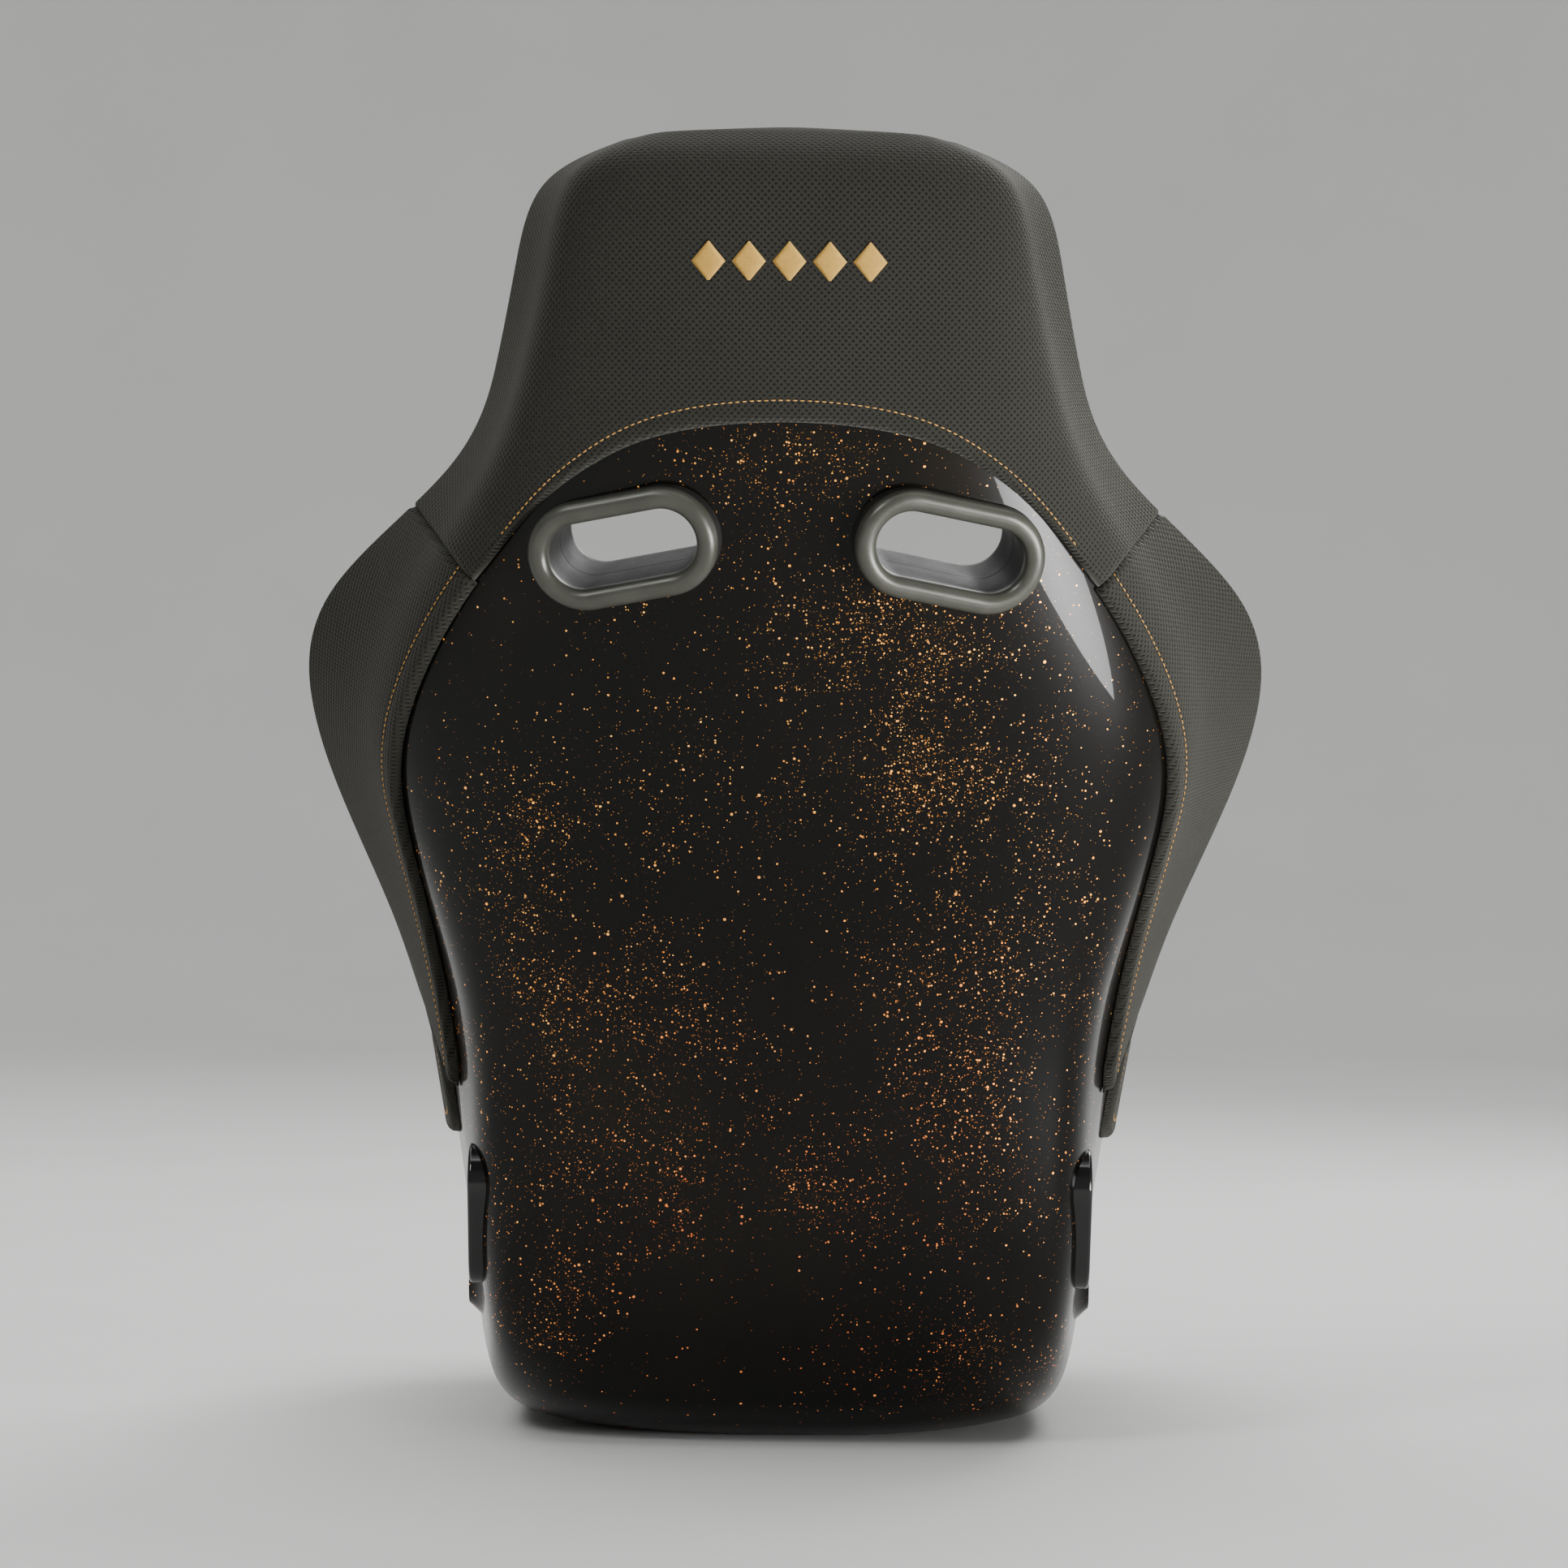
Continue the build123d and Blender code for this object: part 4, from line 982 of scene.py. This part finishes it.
def make_pads():
    half = lambda u: np.full(u.shape, CUSHION_HALF - 1.0)
    minus_half = lambda u: -half(u)
    centre = lambda u: centre_half(u) - 0.5
    minus_centre = lambda u: -centre(u)
    bolster = lambda u: centre_half(u) + 0.5
    thigh = lambda u: np.full(u.shape, CUSHION_HALF + 1.0)

    u, v = pad_grid(CUSHION_FRONT, CUSHION_BACK, minus_half, half, 96, 72)
    face, away = make_pad("seat_cushion_fabric", u, v, (16, 10, 9, 9), 7, CUSHION,
                          [*both_covers("seat_cushion"), "cushion_base_cloth"], 6.0,
                          (0.30, 0.42, 0.54, 0.66, 0.78), gap=5.0, insert=box_insert(0.2, 0.17),
                          cutters=crotch_cutters())
    edge_stitch("seat_cushion", face, away, 12.0, CUSHION)

    u, v = pad_grid(BACK_START, LUMBAR_TOP, minus_centre, centre, 64, 72)
    face, away = make_pad("lumbar_fabric", u, v, (9, 7, 8, 8), 4, SEAT, both_covers("lumbar_pad"), 5.0,
                          (0.55, 0.80), insert=box_insert(0.001, 0.17))
    edge_stitch("lumbar", face, away, 11.0, SEAT)

    u, v = pad_grid(LUMBAR_TOP + CUT_GAP, BACKREST_TOP, minus_centre, centre, 84, 72)
    face, away = make_pad("backrest_fabric", u, v, (7, 8, 8, 8), 4, SEAT, both_covers("backrest_pad"), 5.0,
                          (0.14, 0.30, 0.46), insert=box_insert(0.001, 0.17), cutters=harness_cutters())
    edge_stitch("backrest", face, away, 11.0, SEAT)

    beyond = lambda x: centre_half(x) * 4
    minus_beyond = lambda x: -beyond(x)
    u, v = pad_grid(BACKREST_TOP + CUT_GAP, CROWN - 0.1, minus_beyond, beyond, 72, 100)
    make_pad("headrest_fabric", u, v, (9, 4, 3, 3), 5, SEAT,
             [*both_covers("headrest_pad"), *both_covers("crown_pad")], 4.0, cutters=harness_cutters())

    for name, u0, u1, low, base in (
        ("thigh", CUSHION_FRONT, CUSHION_BACK, thigh, "thigh_bolster"),
        ("hip", BACK_START, HIP_TOP, bolster, "hip_bolster"),
        ("shoulder", HIP_TOP + CUT_GAP, BACKREST_TOP, bolster, "shoulder_bolster"),
    ):
        for side, flipped in (("left", False), ("right", True)):
            u, v = pad_grid(u0, u1, low, None, 70, 44)
            make_pad(f"{side}_{name}_fabric", u, v, (8, 8, 8, 3), 3, SEAT, both_covers(f"{side}_{base}"), 4.0,
                     mirrored=flipped, cutters=lap_cutters(-1 if flipped else 1) if name == "hip" else ())


# ---------------------------------------------------------------- shell
def insert_cutters():
    """The bores that the four M8 inserts fill."""
    cutters = []
    for side in (1, -1):
        for end in (1, -1):
            frame_of = ((side * MOUNT_X, MOUNT_Y + end * MOUNT_SPACING / 2, MOUNT_Z), (0, 1, 0), (side, 0, 0))
            cutters.append(oval_cutter(frame_of, (2 * INSERT_RADIUS + 0.02, 2 * INSERT_RADIUS), -20, 5, 0.0))
    return cutters


def ring_faces(rings, count):
    """Faces between closed rings of points."""
    return [[i * count + k, i * count + (k + 1) % count, (i + 1) * count + (k + 1) % count, (i + 1) * count + k]
            for i in range(rings - 1) for k in range(count)]


def boss(side, end):
    """The moulded cone round an insert, from inside the wall out to its flat end."""
    turns = np.linspace(0, 2 * math.pi, 65)[:-1]
    profile = [(MOUNT_X - 12.6, BOSS_FOOT), (MOUNT_X - 12, BOSS_FOOT), (MOUNT_X - 0.6, BOSS_RADIUS + 0.4),
               (MOUNT_X, BOSS_RADIUS)]
    centre_y = MOUNT_Y + end * MOUNT_SPACING / 2
    rings = np.array([[(side * x, centre_y + radius * math.cos(t), MOUNT_Z + radius * math.sin(t))
                       for t in turns] for x, radius in profile]).reshape(-1, 3)
    count = len(turns)
    faces = ring_faces(len(profile), count)
    faces += [list(range(count)), [(len(profile) - 1) * count + k for k in reversed(range(count))]]
    cone = new_mesh("boss", rings * MM, faces, rings[:, 1:] * MM)
    face_outwards(cone)
    return cone


def make_shell(material):
    """The shell's smooth outside and inside, with its bosses and openings."""
    u, v = np.broadcast_arrays(np.linspace(0, SHELL_TOP, 151)[:, None], np.linspace(-1, 1, 131))
    outside = shell_surface(u, v, np.zeros(u.shape))
    inside = shell_surface(u, v, np.full(u.shape, -SHELL_WALL))
    outside[..., 2] = np.maximum(outside[..., 2], 0)
    piece = closed_mesh("shell_skin", outside, inside)
    face_outwards(piece)
    bosses = [boss(side, end) for side in (1, -1) for end in (1, -1)]
    cut(piece, [*harness_tunnels(), *lap_cutters(1), *lap_cutters(-1), crotch_tunnel(), *insert_cutters()], bosses)
    dress(piece, material, SEAT, "flake_shell", "shell")


# ---------------------------------------------------------------- motif
def make_motif():
    """Five satin-stitched lozenges, each a bed of raised parallel threads."""
    low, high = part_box("head_motif")
    count, pitch = 5, (high.x - low.x) / 4.84
    middle_z = (low.z + high.z) / 2
    half_width, half_height = pitch * 0.42, (high.z - low.z) / 2
    u_table = np.linspace(14.0, 16.6, 200)
    verts, faces = [], []
    step = 0.62 * MM
    for k in range(count):
        x0 = (k - (count - 1) / 2) * pitch
        rows = np.arange(-half_height + step, half_height - step / 2, step)
        for z in rows:
            width = half_width * (1 - abs(z) / half_height)
            if width < 0.6 * MM:
                continue
            first = len(verts)
            for a in np.linspace(-1, 1, 7):
                for b in range(5):
                    verts.append((x0 + a * width, a, z, b))
            for a in range(6):
                for b in range(5):
                    c = (b + 1) % 5
                    ring = first + a * 5
                    faces.append([ring + b, ring + c, ring + 5 + c, ring + 5 + b])
            faces.append([first + b for b in reversed(range(5))])
            faces.append([first + 30 + b for b in range(5)])
    raw = np.array(verts)
    across = head_surface(raw[:, 0], raw[:, 2] + middle_z, u_table)
    ends = np.sqrt(np.clip(1 - raw[:, 1] ** 4, 0, 1))
    turn = raw[:, 3] * 2 * math.pi / 5
    lift = 0.25 * MM + (0.75 * ends + 0.45 * np.sin(turn) * (0.3 + 0.7 * ends)) * MM
    co = np.stack([raw[:, 0], across + lift, raw[:, 2] + middle_z + 0.36 * MM * np.cos(turn)], -1)
    piece = new_mesh("head_motif_embroidery", co, faces)
    dress(piece, GOLD, SEAT, "gold_thread", "head_motif")


def head_surface(x, z, u_table):
    """y of the head cover's outside at x and z, from a table of it."""
    widths = np.linspace(0, np.abs(x).max() + MM, 24)
    heights = np.linspace(z.min() - MM, z.max() + MM, 24)
    table = []
    for width in widths:
        m = share_at(shell_control, u_table, np.full(u_table.shape, width / MM))
        line = outside_surface(u_table, m / WRAP_START, np.full(u_table.shape, SKIN_GAP + SKIN))
        table.append(np.interp(heights, line[:, 2], line[:, 1]))
    table = np.array(table)
    i = (np.abs(x) - widths[0]) / (widths[1] - widths[0])
    j = (z - heights[0]) / (heights[1] - heights[0])
    a, b = np.floor(i).astype(int), np.floor(j).astype(int)
    i, j = i - a, j - b
    low = table[a, b] * (1 - i) + table[a + 1, b] * i
    high = table[a, b + 1] * (1 - i) + table[a + 1, b + 1] * i
    return low * (1 - j) + high * j


# ---------------------------------------------------------------- CAD nodes that stay
def paint(node, material):
    shape = frame["nodes"][node]
    shape.data.materials.clear()
    shape.data.materials.append(material)
    shape.data.polygons.foreach_set("use_smooth", [True] * len(shape.data.polygons))
    even = shape.modifiers.new("even_normals", "WEIGHTED_NORMAL")
    even.mode, even.weight, even.keep_sharp = "FACE_AREA_WITH_ANGLE", 50, True


def paint_cad():
    satin = bezel_material()
    gloss = plastic_material("gloss_ring", (0.004, 0.004, 0.004), 0.12, 400.0, 0.00002)
    rubber = plastic_material("edge_rubber", (0.018, 0.018, 0.018), 0.62)
    loops = plastic_material("hook_and_loop", (0.015, 0.015, 0.016), 0.9, 900.0, 0.0006)
    steel = steel_material()
    make_shell(shell_material())
    by_slot = {"satin_plastic": satin, "gloss_ring": gloss, "edge_rubber": rubber, "hook_and_loop": loops,
               "zinc_steel": steel}
    for part in frame["record"]["subparts"]:
        if part["material_slot"] in by_slot:
            paint(part["node"], by_slot[part["material_slot"]])


# ---------------------------------------------------------------- stage
def make_stage():
    material, shader, n = tree("pale_floor")
    p = n.position()
    n.link(n.mix(n.noise(p, 3.0, 4.0), (0.60, 0.60, 0.59, 1), (0.66, 0.66, 0.65, 1)),
           shader.inputs["Base Color"])
    shader.inputs["Roughness"].default_value = 0.75
    flat, bend, tall, sides = 5.0, 2.0, 5.0, 64
    profile = [(0.02, 0.0), (flat, 0.0)]
    profile += [(flat + bend * math.sin(a), bend * (1 - math.cos(a))) for a in np.linspace(0.08, math.pi / 2, 14)]
    profile.append((flat + bend, tall))
    turns = [2 * math.pi * k / sides for k in range(sides)]
    verts = np.array([(r * math.cos(t), r * math.sin(t), z) for r, z in profile for t in turns])
    faces = ring_faces(len(profile), sides)
    faces.append(list(range(sides)))
    floor = new_mesh("sweep", verts, faces)
    floor.data.materials.append(material)


def area_light(name, place_at, target, size, power, spread=180):
    light = bpy.data.lights.new(name, "AREA")
    light.shape, light.energy, light.spread = "RECTANGLE", power, math.radians(spread)
    light.size, light.size_y = size
    holder = bpy.data.objects.new(name, light)
    bpy.context.scene.collection.objects.link(holder)
    holder.location = place_at
    holder.rotation_euler = (Vector(target) - Vector(place_at)).to_track_quat("-Z", "Y").to_euler()
    holder.visible_camera = False


SENSOR, LENS_PER_SENSOR = 36.0, 6604 / 1932
CAMERA_DISTANCE, CAMERA_HEIGHT, CAMERA_ROLL = 3.675, 0.436, -0.59  # metres, metres, degrees


def make_lights_and_camera():
    world = bpy.data.worlds.new("studio")
    world.use_nodes = True
    world.node_tree.nodes["Background"].inputs[0].default_value = (0.80, 0.82, 0.85, 1)
    world.node_tree.nodes["Background"].inputs[1].default_value = 0.16
    bpy.context.scene.world = world
    area_light("ceiling", (0.0, -1.0, 4.4), (0, -1.0, 0), (6.0, 6.0), 330)
    area_light("key", (1.5, 2.0, 2.2), (0, 0.2, 0.6), (0.9, 0.9), 34)
    area_light("front", (-1.2, -2.2, 2.0), (0, -0.1, 0.4), (1.2, 1.2), 40)
    area_light("right_softbox", (-1.05, 0.98, 0.26), (-0.15, 0.28, 0.6), (0.78, 0.42), 8.0, 70)
    camera = bpy.data.cameras.new("camera")
    camera.sensor_width, camera.lens = SENSOR, SENSOR * LENS_PER_SENSOR
    camera.clip_end = 60
    holder = bpy.data.objects.new("camera", camera)
    bpy.context.scene.collection.objects.link(holder)
    holder.location = (0.0, CAMERA_DISTANCE - ORIGIN_Y * MM, CAMERA_HEIGHT)
    holder.rotation_euler = (math.pi / 2, math.radians(CAMERA_ROLL), math.pi)
    bpy.context.scene.camera = holder


make_lights_and_camera()
make_stage()
paint_cad()
head_line, head_away = make_head()
left_line, left_away = make_wing(1)
right_line, right_away = make_wing(-1)
stitches("head_topstitch", head_line, head_away)
stitches("left_wing_topstitch", left_line[3:], left_away[3:])
stitches("right_wing_topstitch", right_line[3:], right_away[3:])
make_side(1)
make_side(-1)
make_pads()
make_motif()
